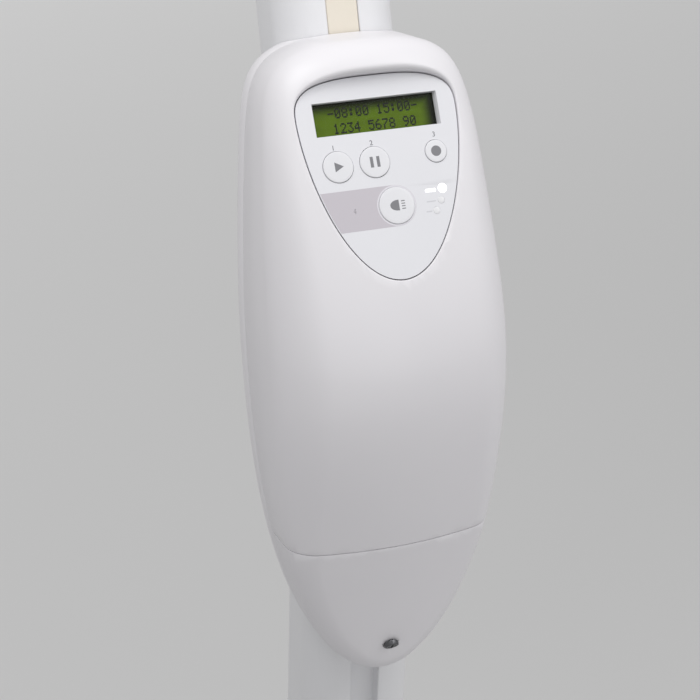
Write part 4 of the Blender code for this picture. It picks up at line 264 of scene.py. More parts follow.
def meshFrom(shape, name, place=None):
    bmesh.ops.remove_doubles(shape, verts=shape.verts[:], dist=flatness["weld"])
    bmesh.ops.recalc_face_normals(shape, faces=shape.faces[:])
    mesh = bpy.data.meshes.new(name)
    shape.to_mesh(mesh)
    shape.free()
    if place:
        mesh.transform(place)
    return mesh


def joinRings(shape, near, far):
    for index in range(len(near)):
        after = (index + 1) % len(near)
        shape.faces.new((near[index], near[after], far[after], far[index]))


def loftMesh(name, rings, place, wrapped=False):
    # skin over the rings, closed at both ends or wrapped round to the first ring
    shape = bmesh.new()
    rows = [[shape.verts.new(point) for point in ring] for ring in rings]
    for near, far in zip(rows, rows[1:]):
        joinRings(shape, near, far)
    if wrapped:
        joinRings(shape, rows[-1], rows[0])
    else:
        shape.faces.new(rows[0])
        shape.faces.new(rows[-1])
    return meshFrom(shape, name, place)


def turnedMesh(name, profile, steps, place):
    # profile is (radius, height) down one side
    shape = bmesh.new()
    rows = []
    for step in range(steps):
        turn = math.tau * step / steps
        rows.append([shape.verts.new((r * math.cos(turn), r * math.sin(turn), z)) for r, z in profile])
    for index, near in enumerate(rows):
        far = rows[(index + 1) % steps]
        for low in range(len(profile) - 1):
            shape.faces.new((near[low], far[low], far[low + 1], near[low + 1]))
    bmesh.ops.remove_doubles(shape, verts=shape.verts[:], dist=flatness["weld"] / 2)
    bmesh.ops.dissolve_degenerate(shape, edges=shape.edges[:], dist=flatness["weld"] / 2)
    return meshFrom(shape, name, place)


def shownMesh(item):
    graph = bpy.context.evaluated_depsgraph_get()
    return bpy.data.meshes.new_from_object(item.evaluated_get(graph))


def curveMesh(curve, place):
    carrier = workItem(curve)
    mesh = shownMesh(carrier)
    bpy.data.objects.remove(carrier)
    mesh.transform(place)
    return mesh


def filledMesh(name, outlines, low, high, place):
    # flat sheet between two levels, with holes where outlines lie inside others
    curve = bpy.data.curves.new(name, "CURVE")
    curve.dimensions = "2D"
    curve.fill_mode = "BOTH"
    for outline in outlines:
        spline = curve.splines.new("POLY")
        spline.points.add(len(outline) - 1)
        for point, (x, y) in zip(spline.points, outline):
            point.co = (x, y, 0, 1)
        spline.use_cyclic_u = True
    curve.extrude = (high - low) / 2
    shape = bmesh.new()
    shape.from_mesh(curveMesh(curve, Matrix.Translation((0, 0, (high + low) / 2))))
    limit = flatness["dissolve"]
    bmesh.ops.dissolve_limit(shape, angle_limit=limit, verts=shape.verts[:], edges=shape.edges[:])
    return meshFrom(shape, name, place)


def sheetMesh(name, outlines, height, place):
    # one flat face for each outline
    shape = bmesh.new()
    for outline in outlines:
        shape.faces.new([shape.verts.new((x, y, height)) for x, y in outline])
    mesh = bpy.data.meshes.new(name)
    shape.to_mesh(mesh)
    shape.free()
    mesh.transform(place)
    return mesh


def blockMesh(name, low, high, place=None):
    shape = bmesh.new()
    bmesh.ops.create_cube(shape, size=1)
    middle = Matrix.Translation((Vector(low) + Vector(high)) / 2)
    mesh = meshFrom(shape, name, middle @ Matrix.Diagonal(Vector(high) - Vector(low)).to_4x4())
    if place:
        mesh.transform(place)
    return mesh


def textMesh(name, words, size, thickness, place):
    letters = bpy.data.curves.new(name, "FONT")
    letters.body = words
    letters.size = size
    letters.align_x = "CENTER"
    letters.align_y = "CENTER"
    letters.extrude = thickness / 2
    return curveMesh(letters, place)


def workItem(mesh):
    item = bpy.data.objects.new(mesh.name, mesh)
    bpy.context.scene.collection.objects.link(item)
    return item


def bake(item):
    mesh = shownMesh(item)
    item.modifiers.clear()
    item.data = mesh
    return item


def carve(item, mesh, operation="DIFFERENCE"):
    tool = workItem(mesh)
    cutting = item.modifiers.new("carve", "BOOLEAN")
    cutting.operation = operation
    cutting.solver = "EXACT"
    cutting.object = tool
    bake(item)
    bpy.data.objects.remove(tool)
    return item


def finishPiece(item, name, finish, standsFor=(), edge=0.0, segments=2, angle=38,
                marked=False, body="stand"):
    item.name = name
    item.data.materials.clear()
    item.data.materials.append(finish)
    softenEdges(item, edge, segments, angle, marked)
    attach(item, body)
    if standsFor:
        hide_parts(*standsFor)
    return item


def quarterTurns(steps):
    return [math.pi / 2 * step / steps for step in range(steps + 1)]


def rectangle(left, low, right, high):
    return [(left, low), (right, low), (right, high), (left, high)]


def circlePoints(radius, middle=(0, 0), sides=64):
    turns = [math.tau * step / sides for step in range(sides)]
    return [(middle[0] + radius * math.cos(a), middle[1] + radius * math.sin(a)) for a in turns]


# Where the console, its panel and the cap screw lie
console = {"height": 1.0, "forward": 59.28 * mm, "lean": math.radians(7),
           "panelOut": 60 * mm, "panelUp": 81.5 * mm, "panelTurn": math.radians(90 - 20.5),
           "screwOut": 43.5 * mm, "screwUp": -200.5 * mm, "screwTurn": math.radians(90 + 48)}
consolePlace = Matrix.Translation((0, -console["forward"], console["height"]))
consolePlace = consolePlace @ Matrix.Rotation(-console["lean"], 4, "X")


def frontPlace(out, up, turn):
    # a place on the console's front, turned from lying flat to facing out
    return consolePlace @ Matrix.Translation((0, -out, up)) @ Matrix.Rotation(turn, 4, "X")


panelPlace = frontPlace(console["panelOut"], console["panelUp"], console["panelTurn"])
screwPlace = frontPlace(console["screwOut"], console["screwUp"], console["screwTurn"])

# Camera at the photograph's viewing angle
cameraView = {"yaw": math.radians(18.477), "pitch": math.radians(17.209), "roll": math.radians(-3.241),
              "target": Vector((0.41, 0, -49.884)) * mm, "distance": 932.46 * mm, "lens": 93.04,
              "sensor": 36, "nearest": 0.02}
yaw, pitch, roll = cameraView["yaw"], cameraView["pitch"], cameraView["roll"]
ahead = Vector((math.sin(yaw) * math.cos(pitch), math.cos(yaw) * math.cos(pitch), -math.sin(pitch)))
level = Vector((math.cos(yaw), -math.sin(yaw), 0))
upright = level.cross(ahead)
across = level * math.cos(roll) + upright * math.sin(roll)
upward = upright * math.cos(roll) - level * math.sin(roll)
eyePoint = cameraView["target"] - ahead * cameraView["distance"]
turnTo = Matrix((across, upward, -ahead)).transposed().to_4x4()
camera = bpy.data.objects.new("camera", bpy.data.cameras.new("camera"))
camera.data.lens = cameraView["lens"]
camera.data.sensor_width = cameraView["sensor"]
camera.data.clip_start = cameraView["nearest"]
camera.matrix_world = consolePlace @ Matrix.Translation(eyePoint) @ turnTo
bpy.context.scene.collection.objects.link(camera)
bpy.context.scene.camera = camera

# Floor, sky and three soft boxes, in metres and watts
# the far floor tone is painted light, lighter than the near one
studio = {"floorSize": 30.0, "floorDepth": 0.02, "nearFloor": "D5D5D5", "paintedLitFloor": "EFEFEF",
          "bounceFloor": "BDBDBD", "farLeft": (-0.6, 1, 0), "skyStrength": 0.70,
          "skySide": (0.4, -0.15, 0.6)}
softBoxes = {
    "leftBox": {"at": (-0.32, -0.25, 1.65), "aim": (-0.05, -0.05, 1.1), "size": 0.35, "watts": 1.9},
    "frontBox": {"at": (0.1, -1.5, 0.95), "aim": (0, -0.1, 0.95), "size": 0.7, "watts": 1.4},
    "rightBox": {"at": (0.6, -0.6, 1.7), "aim": (0, -0.1, 1.1), "size": 0.5, "watts": 2.6},
}
half = studio["floorSize"] / 2
floor = workItem(blockMesh("floor", (-half, -half, -studio["floorDepth"]), (half, half, 0)))
# matt pale floor with painted light: its colour grows lighter towards its far left; darker for rays that
# bounce off it
floorPaint, tree, shader = newMaterial("floorPaint")
place = placeIn(tree)
clouds = addNoise(tree, place, scale=0.7, detail=2.0)
# painted light: share of the lighter far tone, growing towards the far left
paintedLightShare = remap(tree, along(tree, place, studio["farLeft"]), start=0.7, end=5.0)
shares = {0: clouds, 1: 0.08, 2: paintedLightShare}
patchy = addNode(tree, "ShaderNodeMath", shares, operation="MULTIPLY_ADD").outputs[0]
tone = mixColours(tree, patchy, linear(studio["nearFloor"]), linear(studio["paintedLitFloor"]))
ray = addNode(tree, "ShaderNodeLightPath").outputs
seen = larger(tree, larger(tree, ray["Is Camera Ray"], ray["Is Transmission Ray"]), ray["Is Glossy Ray"])
tree.links.new(mixColours(tree, seen, linear(studio["bounceFloor"]), tone), shader.inputs["Base Color"])
shader.inputs["Roughness"].default_value = 0.9
shader.inputs["Specular IOR Level"].default_value = 0.1
floor.data.materials.append(floorPaint)
world = bpy.data.worlds.new("studio")
world.use_nodes = True
sky = world.node_tree
glow = remap(sky, along(sky, placeIn(sky, "Generated"), studio["skySide"]), end=0.5, low=0.8, high=1.06)
sky.links.new(glow, sky.nodes["Background"].inputs["Color"])
sky.nodes["Background"].inputs["Strength"].default_value = studio["skyStrength"]
bpy.context.scene.world = world
for name, lamp in softBoxes.items():
    box = bpy.data.objects.new(name, bpy.data.lights.new(name, "AREA"))
    box.data.energy = lamp["watts"]
    box.data.size = lamp["size"]
    box.location = lamp["at"]
    box.rotation_euler = (Vector(lamp["aim"]) - Vector(lamp["at"])).to_track_quat("-Z", "Y").to_euler()
    bpy.context.scene.collection.objects.link(box)
bpy.context.scene.view_settings.view_transform = "Standard"
print("scene: camera, floor and lamps ready")

# Console housing: the same forms as the solids, with more steps
housing = {"halfWidth": 60 * mm, "widest": -35 * mm, "top": 115 * mm, "bottom": -219 * mm, "shoulder": 0.2,
           "shoulderPower": 1.6, "cornerPower": 16, "cornerRoot": 0.4, "cornerShare": 0.75, "footPower": 2.5,
           "wall": 3 * mm, "parting": 20 * mm, "reach": 93.5 * mm, "fullest": -38 * mm, "softness": 45 * mm,
           "fall": 0.383, "tilt": 0.041, "crown": 13 * mm, "round": 22 * mm, "roundEnds": 12 * mm,
           "land": 2 * mm, "rearDepth": 27 * mm, "rearRound": 20 * mm, "seam": 0.4 * mm, "capSeam": -133 * mm,
           "seamRound": 0.35 * mm, "seamBand": 0.02 * mm, "cornerSteps": 18, "sideSteps": 12,
           "footSteps": 36, "roundSteps": 10,
           "crownShares": (0.08, 0.17, 0.26, 0.35, 0.45, 0.55, 0.65, 0.75, 0.85, 0.94)}
widest, parting, seam = housing["widest"], housing["parting"], housing["seam"]
rise, drop = housing["top"] - widest, widest - housing["bottom"]


def outlineHalfWidth(height):
    if height > widest:
        share = (height - widest) / rise
        shoulder = 1 - housing["shoulder"] * share ** housing["shoulderPower"]
        corner = max(0, 1 - share ** housing["cornerPower"]) ** housing["cornerRoot"]
        return housing["halfWidth"] * shoulder * corner
    share = (widest - height) / drop
    return housing["halfWidth"] * max(0, 1 - share ** housing["footPower"]) ** 0.5


def housingOutline():
    cornerTurn = math.asin(housing["cornerShare"] ** (housing["cornerPower"] / 2))
    heights = []
    for step in range(housing["cornerSteps"] + 1):
        turn = math.pi / 2 + (cornerTurn - math.pi / 2) * step / housing["cornerSteps"]
        heights.append(widest + rise * math.sin(turn) ** (2 / housing["cornerPower"]))
    for step in range(1, housing["sideSteps"] + 1):
        heights.append(widest + rise * housing["cornerShare"] * (1 - step / housing["sideSteps"]))
    for turn in quarterTurns(housing["footSteps"])[1:]:
        heights.append(widest - drop * math.sin(turn) ** (2 / housing["footPower"]))
    right = [(outlineHalfWidth(height), height) for height in heights[1:-1]]
    return [(0, heights[0])] + right + [(0, heights[-1])] + [(-x, z) for x, z in reversed(right)]


def frontReach(x, height):
    away = height - housing["fullest"]
    fall = math.hypot(housing["softness"], away) - housing["softness"]
    middle = housing["reach"] - housing["fall"] * fall + housing["tilt"] * away
    return middle - housing["crown"] * (x / housing["halfWidth"]) ** 2


def drawnIn(x, height, inset):
    middle = (housing["top"] + housing["bottom"]) / 2
    reach = (housing["top"] - housing["bottom"]) / 2
    return x * (1 - inset / housing["halfWidth"]), middle + (height - middle) * (1 - inset / reach)


def edgeRadius(x, height):
    share = (height - widest) / rise
    wanted = housing["roundEnds"] + (housing["round"] - housing["roundEnds"]) * max(0, 1 - 2 * share ** 2)
    return min(wanted, frontReach(x, height) - parting - housing["land"])


def frontRings():
    outline = housingOutline()
    rings = [[(x, -parting, z) for x, z in outline]]
    for turn in quarterTurns(housing["roundSteps"]):
        ring = []
        for x, z in outline:
            radius = edgeRadius(x, z)
            innerX, innerZ = drawnIn(x, z, radius * (1 - math.cos(turn)))
            ring.append((innerX, -(frontReach(innerX, innerZ) - radius * (1 - math.sin(turn))), innerZ))
        rings.append(ring)
    for share in housing["crownShares"]:
        ring = []
        for x, z in outline:
            radius = edgeRadius(x, z)
            innerX, innerZ = drawnIn(x, z, radius + (housing["halfWidth"] - radius) * share)
            ring.append((innerX, -frontReach(innerX, innerZ), innerZ))
        rings.append(ring)
    return rings


def rearRings():
    outline = housingOutline()
    rings = [[(x, seam - parting, z) for x, z in outline]]
    for turn in quarterTurns(housing["roundSteps"]):
        back = housing["rearDepth"] - parting - housing["rearRound"] * (1 - math.sin(turn))
        ring = []
        for x, z in outline:
            innerX, innerZ = drawnIn(x, z, housing["rearRound"] * (1 - math.cos(turn)))
            ring.append((innerX, back, innerZ))
        rings.append(ring)
    return rings


def mirroredMesh(name, rings, closed):
    # the last ring is closed by strips from side to side
    shape = bmesh.new()
    rows = [[shape.verts.new(point) for point in ring] for ring in rings]
    for near, far in zip(rows, rows[1:]):
        joinRings(shape, near, far)
    last, count = rows[-1], len(rows[-1])
    for index in range(count // 2):
        mirrored = [last[(count - index - 1) % count], last[(count - index) % count]]
        shape.faces.new(list(dict.fromkeys([last[index], last[index + 1], *mirrored])))
    if closed:
        shape.faces.new(rows[0])
    return meshFrom(shape, name, consolePlace)


def shellOf(mesh, wall):
    item = workItem(mesh)
    thick = item.modifiers.new("wall", "SOLIDIFY")
    thick.thickness = wall
    thick.offset = -1
    thick.use_even_offset = True
    return bake(item)


# Mast: bowed profile with a groove down its front
mast = {"width": 61 * mm, "depth": 58 * mm, "round": 20 * mm, "wall": 3 * mm, "grooveWidth": 16 * mm,
        "grooveDepth": 8 * mm, "lip": 0.7 * mm, "lipSteps": 4, "bowRadius": 863 * mm,
        "bowAngle": math.radians(14), "front": 28 * mm, "topRun": 60 * mm, "hubTop": 108 * mm,
        "flange": 9 * mm, "gap": 0.3 * mm, "cornerSteps": 12, "bowSteps": 36, "runSteps": 6}


def mastSection(offset=0.0, groove=True):
    points = []
    halfX, halfY = mast["width"] / 2 + offset, mast["depth"] / 2 + offset
    radius = mast["round"] + offset
    for corner, (sideX, sideY) in enumerate(((1, 1), (-1, 1), (-1, -1), (1, -1))):
        for step in range(mast["cornerSteps"] + 1):
            turn = math.pi / 2 * (corner + step / mast["cornerSteps"])
            points.append((sideX * (halfX - radius) + radius * math.cos(turn),
                           -mast["depth"] / 2 + sideY * (halfY - radius) + radius * math.sin(turn)))
    if not groove:
        return points
    half, lip = mast["grooveWidth"] / 2 - offset, mast["lip"]
    base = offset - mast["grooveDepth"]
    turns = quarterTurns(mast["lipSteps"])
    right = [(half + lip - lip * math.sin(a), offset - lip + lip * math.cos(a)) for a in turns]
    right += [(half - lip + lip * math.cos(a), base + lip - lip * math.sin(a)) for a in turns]
    split = mast["cornerSteps"] + 1
    return points[:split] + right + [(-x, y) for x, y in reversed(right)] + points[split:]


def alongMast(section, angle, beyond=0.0):
    ring = []
    for x, out in section:
        reach = mast["bowRadius"] + out
        forward = mast["front"] - mast["bowRadius"] + reach * math.cos(angle) - beyond * math.sin(angle)
        ring.append((x, -forward, reach * math.sin(angle) + beyond * math.cos(angle)))
    return ring


# straight run below the bow, down to the flange of the foot
lean = console["lean"]
middleReach = mast["bowRadius"] - mast["depth"] / 2
bowForward = mast["front"] - mast["bowRadius"] + middleReach * math.cos(mast["bowAngle"])
bowDrop = middleReach * math.sin(mast["bowAngle"]) * math.cos(lean)
bowStart = console["height"] - bowDrop + bowForward * math.sin(lean)
mastFootHeight = mast["hubTop"] + mast["flange"] + 2 * mast["gap"]
lowerRun = (bowStart - mastFootHeight) / math.cos(mast["bowAngle"] - lean)


def mastStations(extra=0.0):
    runSteps, bowSteps, angle = mast["runSteps"], mast["bowSteps"], mast["bowAngle"]
    stations = [(-angle, -(lowerRun + extra) * (1 - step / runSteps)) for step in range(runSteps)]
    stations += [(angle * (2 * step / bowSteps - 1), 0) for step in range(bowSteps + 1)]
    return stations + [(angle, mast["topRun"] + extra)]


def mastSpace(offset):
    section = mastSection(offset, groove=False)
    rings = [alongMast(section, *station) for station in mastStations(offset)]
    return loftMesh("mastSpace", rings, consolePlace)


outer, inner = mastSection(), mastSection(-mast["wall"])
rings = [alongMast(outer, *station) for station in mastStations()]
rings += [alongMast(inner, *station) for station in reversed(mastStations())]
mastItem = workItem(loftMesh("mastProfile", rings, consolePlace, wrapped=True))
finishPiece(mastItem, "mastProfile", enamelledAluminium, ["mast"])

# Cream filler strip with rounded edges, in the groove above the console
strip = {"halfWidth": 7.88 * mm, "recess": 0.5 * mm, "thickness": 6 * mm, "start": math.radians(6),
         "edge": 0.8 * mm, "edgeSteps": 4, "bowSteps": 12, "topGap": 0.3 * mm}
section = [(strip["halfWidth"], -strip["recess"] - strip["thickness"])]
for turn in quarterTurns(strip["edgeSteps"]):
    section.append((strip["halfWidth"] - strip["edge"] + strip["edge"] * math.cos(turn),
                    -strip["recess"] - strip["edge"] + strip["edge"] * math.sin(turn)))
section += [(-x, y) for x, y in reversed(section)]
bowSteps, span = strip["bowSteps"], mast["bowAngle"] - strip["start"]
stations = [(strip["start"] + span * step / bowSteps, 0) for step in range(bowSteps + 1)]
stations.append((mast["bowAngle"], mast["topRun"] - strip["topGap"]))
rings = [alongMast(section, *station) for station in stations]
stripItem = workItem(loftMesh("grooveStrip", rings, consolePlace))
finishPiece(stripItem, "grooveStrip", creamVinyl, ["groove_trim"])
print("scene: mast and strip ready")

# Control panel's inverted-egg outline
panel = {"halfWidth": 39.2 * mm, "rise": 18.3 * mm, "drop": 77.8 * mm, "footPower": 1.7, "topPower": 3,
         "thickness": 3 * mm, "fit": 0.6 * mm, "wellWall": 2.4 * mm, "ledge": 3.5 * mm, "gap": 0.3 * mm,
         "windowWidth": 61.5 * mm, "windowHeight": 15.7 * mm, "lowerSteps": 40, "upperSteps": 26,
         "edge": 0.15 * mm, "edgeAngle": 40}


def panelOutline(offset=0.0):
    halfWidth, drop, rise = panel["halfWidth"] + offset, panel["drop"] + offset, panel["rise"] + offset
    right = []
    for step in range(panel["lowerSteps"] + 1):
        turn = math.pi / 2 * (1 - step / panel["lowerSteps"])
        right.append((halfWidth * math.cos(turn), -drop * math.sin(turn) ** (2 / panel["footPower"])))
    topShare = 2 / panel["topPower"]
    for turn in quarterTurns(panel["upperSteps"])[1:]:
        right.append((halfWidth * max(0, math.cos(turn)) ** topShare, rise * math.sin(turn) ** topShare))
    right[0] = (0, -drop)
    right[-1] = (0, rise)
    return right + [(-x, y) for x, y in reversed(right[1:-1])]


# How far the cutting and joining tools reach past the housing
tools = {"halfWidth": 100 * mm, "front": -130 * mm, "back": 50 * mm, "low": -260 * mm, "high": 200 * mm,
         "collarTop": 30 * mm, "openingLow": -30 * mm, "openingTop": 60 * mm, "screwReach": 20 * mm,
         "slotReach": 5 * mm, "viewReach": 20 * mm}


def housingBox(low, high):
    corner = (tools["halfWidth"], tools["back"], high)
    return blockMesh("housingBox", (-tools["halfWidth"], tools["front"], low), corner, consolePlace)


# Well with a lip that is rounded over, widest where the cover stands tallest
lip = {"least": 0.45 * mm, "most": 2.9 * mm, "share": 0.36, "steps": 7, "above": 20 * mm, "probe": 1.5 * mm,
       "probeStart": 60 * mm, "slopeLow": -1.2, "slopeHigh": 0.6, "sink": 0.96}


def wellMesh(surface, floorLevel):
    def level(x, y):
        start = panelPlace @ Vector((x, y, lip["probeStart"]))
        hit = surface.ray_cast(start, (panelPlace @ Vector((x, y, 0)) - start).normalized())[0]
        return (panelPlace.inverted() @ hit).z if hit else 0.0

    outline = panelOutline(panel["fit"])
    count = len(outline)
    bases = []
    for index, (x, y) in enumerate(outline):
        before, after = outline[index - 1], outline[(index + 1) % count]
        outward = Vector((after[1] - before[1], before[0] - after[0])).normalized()
        radius = min(lip["most"], lip["least"] + lip["share"] * max(0, level(x, y)))
        reaches = (radius, radius + lip["probe"])
        near, far = (level(x + outward.x * reach, y + outward.y * reach) for reach in reaches)
        slope = max(lip["slopeLow"], min(lip["slopeHigh"], (far - near) / lip["probe"]))
        bases.append((Vector((x, y)), outward, radius, near, slope))
    rings = [[(base.x, base.y, floorLevel) for base, *_ in bases]]
    for step in range(lip["steps"] + 1):
        ring = []
        for base, outward, radius, near, slope in bases:
            bend = math.atan(slope)
            turn = math.pi - (math.pi / 2 - bend) * step / lip["steps"]
            centre = near - radius * math.hypot(1, slope) * lip["sink"]
            spot = base + outward * (radius + radius * math.cos(turn))
            ring.append((spot.x, spot.y, centre + radius * math.sin(turn)))
        rings.append(ring)
    rings.append([(x, y, z + lip["above"]) for x, y, z in rings[-1]])
    return loftMesh("well", rings, panelPlace)


def innerSpace(name):
    # the closed housing drawn in by half its wall, so joined parts end inside the skin
    mesh = mirroredMesh(name, frontRings(), True)
    moved = [vertex.co - vertex.normal * housing["wall"] / 2 for vertex in mesh.vertices]
    for vertex, place in zip(mesh.vertices, moved):
        vertex.co = place
    return mesh


def joinInside(cover, part, spaceName):
    # only what lies inside the housing's skin is joined to the cover
    carve(part, innerSpace(spaceName), "INTERSECT")
    carve(cover, part.data.copy(), "UNION")
    bpy.data.objects.remove(part)


def isAt(value, wanted):
    return abs(value - wanted) < housing["seamBand"]


def finishCover(item, name, node, onSeam):
    # the round runs along the edges that lie on a seam
    markEdges(item, onSeam)
    edge = housing["seamRound"]
    finishPiece(item, name, mouldedAbs, [node], edge, marked=True)


# Front cover: shell, recessed well for the panel, and the way for the mast
surfaceShape = bmesh.new()
surfaceShape.from_mesh(mirroredMesh("closedHousing", frontRings(), True))
surfaceTree = BVHTree.FromBMesh(surfaceShape)
surfaceShape.free()
coverFoot = housing["capSeam"] + seam / 2
frontCover = shellOf(mirroredMesh("frontCover", frontRings(), False), housing["wall"])
carve(frontCover, housingBox(tools["low"], coverFoot))
wellFloor = -panel["thickness"] - panel["gap"]
collarOutline = panelOutline(panel["fit"] + panel["wellWall"])
collarFoot = wellFloor - panel["ledge"]
collar = filledMesh("wellCollar", [collarOutline], collarFoot, tools["collarTop"], panelPlace)
joinInside(frontCover, workItem(collar), "housingSpace")
carve(frontCover, wellMesh(surfaceTree, wellFloor))
ledgeOutline, low, high = panelOutline(-panel["ledge"]), tools["openingLow"], tools["openingTop"]
carve(frontCover, filledMesh("wellOpening", [ledgeOutline], low, high, panelPlace))
carve(frontCover, mastSpace(seam))
finishCover(frontCover, "frontCover", "console_front_cover",
            lambda point: isAt(point.z, coverFoot) or isAt(point.y, -parting))

# Lower cap with its screw recess
screw = {"recessRadius": 4.6 * mm, "recessDepth": 4.2 * mm, "bossDepth": 9 * mm, "bossWall": 1.5 * mm,
         "headRadius": 3.8 * mm, "headHeight": 2.4 * mm, "shankRadius": 1.6 * mm, "shankLength": 9 * mm,
         "shankFit": 0.3 * mm, "slot": 0.9 * mm, "slotShare": 0.62, "holeSteps": 48, "headSteps": 40}
capTop = housing["capSeam"] - seam / 2
lowerCap = shellOf(mirroredMesh("lowerCap", frontRings(), False), housing["wall"])
carve(lowerCap, housingBox(capTop, tools["high"]))
bossFoot = -(screw["recessDepth"] + screw["bossDepth"])
bossRadius, reach = screw["recessRadius"] + screw["bossWall"], tools["screwReach"]
profile = [(0, bossFoot), (bossRadius, bossFoot), (bossRadius, reach), (0, reach)]
boss = workItem(turnedMesh("screwBoss", profile, screw["holeSteps"], screwPlace))
joinInside(lowerCap, boss, "capSpace")
holeRadius, recessRadius = screw["shankRadius"] + screw["shankFit"], screw["recessRadius"]
profile = [(0, -reach), (holeRadius, -reach), (holeRadius, -screw["recessDepth"]),
           (recessRadius, -screw["recessDepth"]), (recessRadius, reach), (0, reach)]
carve(lowerCap, turnedMesh("screwHole", profile, screw["holeSteps"], screwPlace))
finishCover(lowerCap, "lowerCap", "console_lower_cap",
            lambda point: isAt(point.z, capTop) or isAt(point.y, -parting))

# Rear cover, saddled over the mast
rearCover = shellOf(mirroredMesh("rearCover", rearRings(), False), housing["wall"])
carve(rearCover, mastSpace(seam))
finishCover(rearCover, "rearCover", "console_rear_cover", lambda point: isAt(point.y, seam - parting))

# Pan-head screw at the bottom of its recess, its shoulder in shares of half the slot, inwards and down
seat = screwPlace @ Matrix.Translation((0, 0, panel["gap"] - screw["recessDepth"]))
top, head, soft = screw["headHeight"], screw["headRadius"], screw["slot"] / 2
shoulderShares = ((2, 0), (1, 0.15), (0.3, 0.5), (0, 1.2))
profile = [(0, top)] + [(head - inward * soft, top - down * soft) for inward, down in shoulderShares]
profile += [(head, 0), (screw["shankRadius"], 0), (screw["shankRadius"], -screw["shankLength"]),
            (0, -screw["shankLength"])]
screwItem = workItem(turnedMesh("capScrew", profile, screw["headSteps"], seat))
slotEnd, slotFoot, slotTop = head * screw["slotShare"], top - screw["slot"], top + tools["slotReach"]
for name, x, y in (("slotOne", slotEnd, soft), ("slotTwo", soft, slotEnd)):
    carve(screwItem, blockMesh(name, (-x, -y, slotFoot), (x, y, slotTop), seat))
finishPiece(screwItem, "capScrew", blackSteel, ["cap_screw"])
print("scene: console housing ready")

# Keys and lamps of the panel: shares of its half width across and of its drop down, the rest in mm
keys = {
    "key_start": {"shares": (-0.587, 0.289), "radius": 7.3, "gap": 0.2, "body": "start_key"},
    "key_pause": {"shares": (-0.128, 0.285), "radius": 7.3, "gap": 0.2, "body": "pause_key"},
    "key_stop": {"shares": (0.656, 0.2635), "radius": 5.3, "gap": 0.2, "body": "stop_key"},
    "key_intensity": {"shares": (0.0536, 0.559), "radius": 8.7, "gap": 0.1, "body": "intensity_key"},
}
dull = {"radius": 1.7, "gap": 0.04, "finish": dullLed, "slot": "indicator_dull"}
lamps = {
    "indicator_high": {**dull, "shares": (0.658, 0.490), "finish": litLed, "slot": "indicator_white"},
    "indicator_mid": {**dull, "shares": (0.620, 0.560)},
    "indicator_low": {**dull, "shares": (0.541, 0.6195)},
}
panelWide, panelDown = panel["halfWidth"] / mm, panel["drop"] / mm
for spot in (*keys.values(), *lamps.values()):
    spot["at"] = (spot["shares"][0] * panelWide, spot["shares"][1] * panelDown)


def panelPoint(at):
    return at[0] * mm, -at[1] * mm


def onPanel(across, down, stand=0.0):
    return panelPlace @ Matrix.Translation((across * mm, -down * mm, stand * mm))


def openings(spots, sides):
    places = [((spot["radius"] + spot["gap"]) * mm, panelPoint(spot["at"])) for spot in spots]
    return [circlePoints(radius, middle, sides) for radius, middle in places]


halfW, halfH = panel["windowWidth"] / 2, panel["windowHeight"] / 2
holes = openings(keys.values(), 64) + openings(lamps.values(), 32)
panelItem = workItem(filledMesh("controlPanel", [panelOutline(), *holes], -panel["thickness"], 0, panelPlace))
# window opening drawn in towards its back, so its walls catch the light
taper = {"left": 0.1 * mm, "right": 0.9 * mm, "foot": 0.5 * mm, "top": 0.1 * mm, "reach": 1 * mm,
         "beyond": 0.3}
thickness, reach, beyond = panel["thickness"], taper["reach"], taper["beyond"]
tapered = []
for depth, share in ((thickness + reach, 1 + beyond), (thickness, 1), (0, 0), (-reach, -beyond)):
    left, right = -halfW + taper["left"] * share, halfW - taper["right"] * share
    foot, crest = -halfH + taper["foot"] * share, halfH - taper["top"] * share
    tapered.append([(x, y, -depth) for x, y in rectangle(left, foot, right, crest)])
carve(panelItem, loftMesh("windowTool", tapered, panelPlace))
finishPiece(panelItem, "controlPanel", matteFilm, ["control_panel"], panel["edge"], 1,
            panel["edgeAngle"])

# Keys: a domed cap with a rounded edge, and a flange behind the panel
keyForm = {"stand": 0.6 * mm, "flatShare": 0.5, "domeShare": 0.8, "domeFall": 0.02 * mm,
           "edgeFall": 0.05 * mm, "round": 0.4 * mm, "turns": (0, 0.4, 0.8, 1.2, math.pi / 2),
           "flangeTop": -3.3 * mm, "flangeReach": 0.9 * mm, "flangeDepth": 1 * mm, "steps": 72}
stand, soft = keyForm["stand"], keyForm["round"]
edgeTop = stand - keyForm["edgeFall"] - soft
flangeTop, flangeFoot = keyForm["flangeTop"], keyForm["flangeTop"] - keyForm["flangeDepth"]
for name, key in keys.items():
    radius = key["radius"] * mm
    flange = radius + keyForm["flangeReach"]
    profile = [(0, stand), (radius * keyForm["flatShare"], stand)]
    profile.append((radius * keyForm["domeShare"], stand - keyForm["domeFall"]))
    profile += [(radius - soft + soft * math.sin(a), edgeTop + soft * math.cos(a)) for a in keyForm["turns"]]
    profile += [(radius, flangeTop), (flange, flangeTop), (flange, flangeFoot), (0, flangeFoot)]
    keyItem = workItem(turnedMesh(name + "_cap", profile, keyForm["steps"], onPanel(*key["at"])))
    finishPiece(keyItem, name + "_cap", keyFilm, [name], body=key["body"])

# Indicator lenses: the dome in shares of the radius and heights in mm
lens = {"dome": ((0, 0.2), (0.6, 0.17), (0.92, 0.08), (1, -0.05)), "depth": 7 * mm, "steps": 32}
for name, lamp in lamps.items():
    radius = lamp["radius"] * mm
    profile = [(radius * share, height * mm) for share, height in lens["dome"]]
    profile += [(radius, -lens["depth"]), (0, -lens["depth"])]
    lampItem = workItem(turnedMesh(name + "_lens", profile, lens["steps"], onPanel(*lamp["at"])))
    finishPiece(lampItem, name + "_lens", lamp["finish"], [name])

# Printed marks: thin sheets of ink laid on the film and on the keys
ink = {"sunk": -0.06, "proud": 0.03, "keyTop": 0.6}


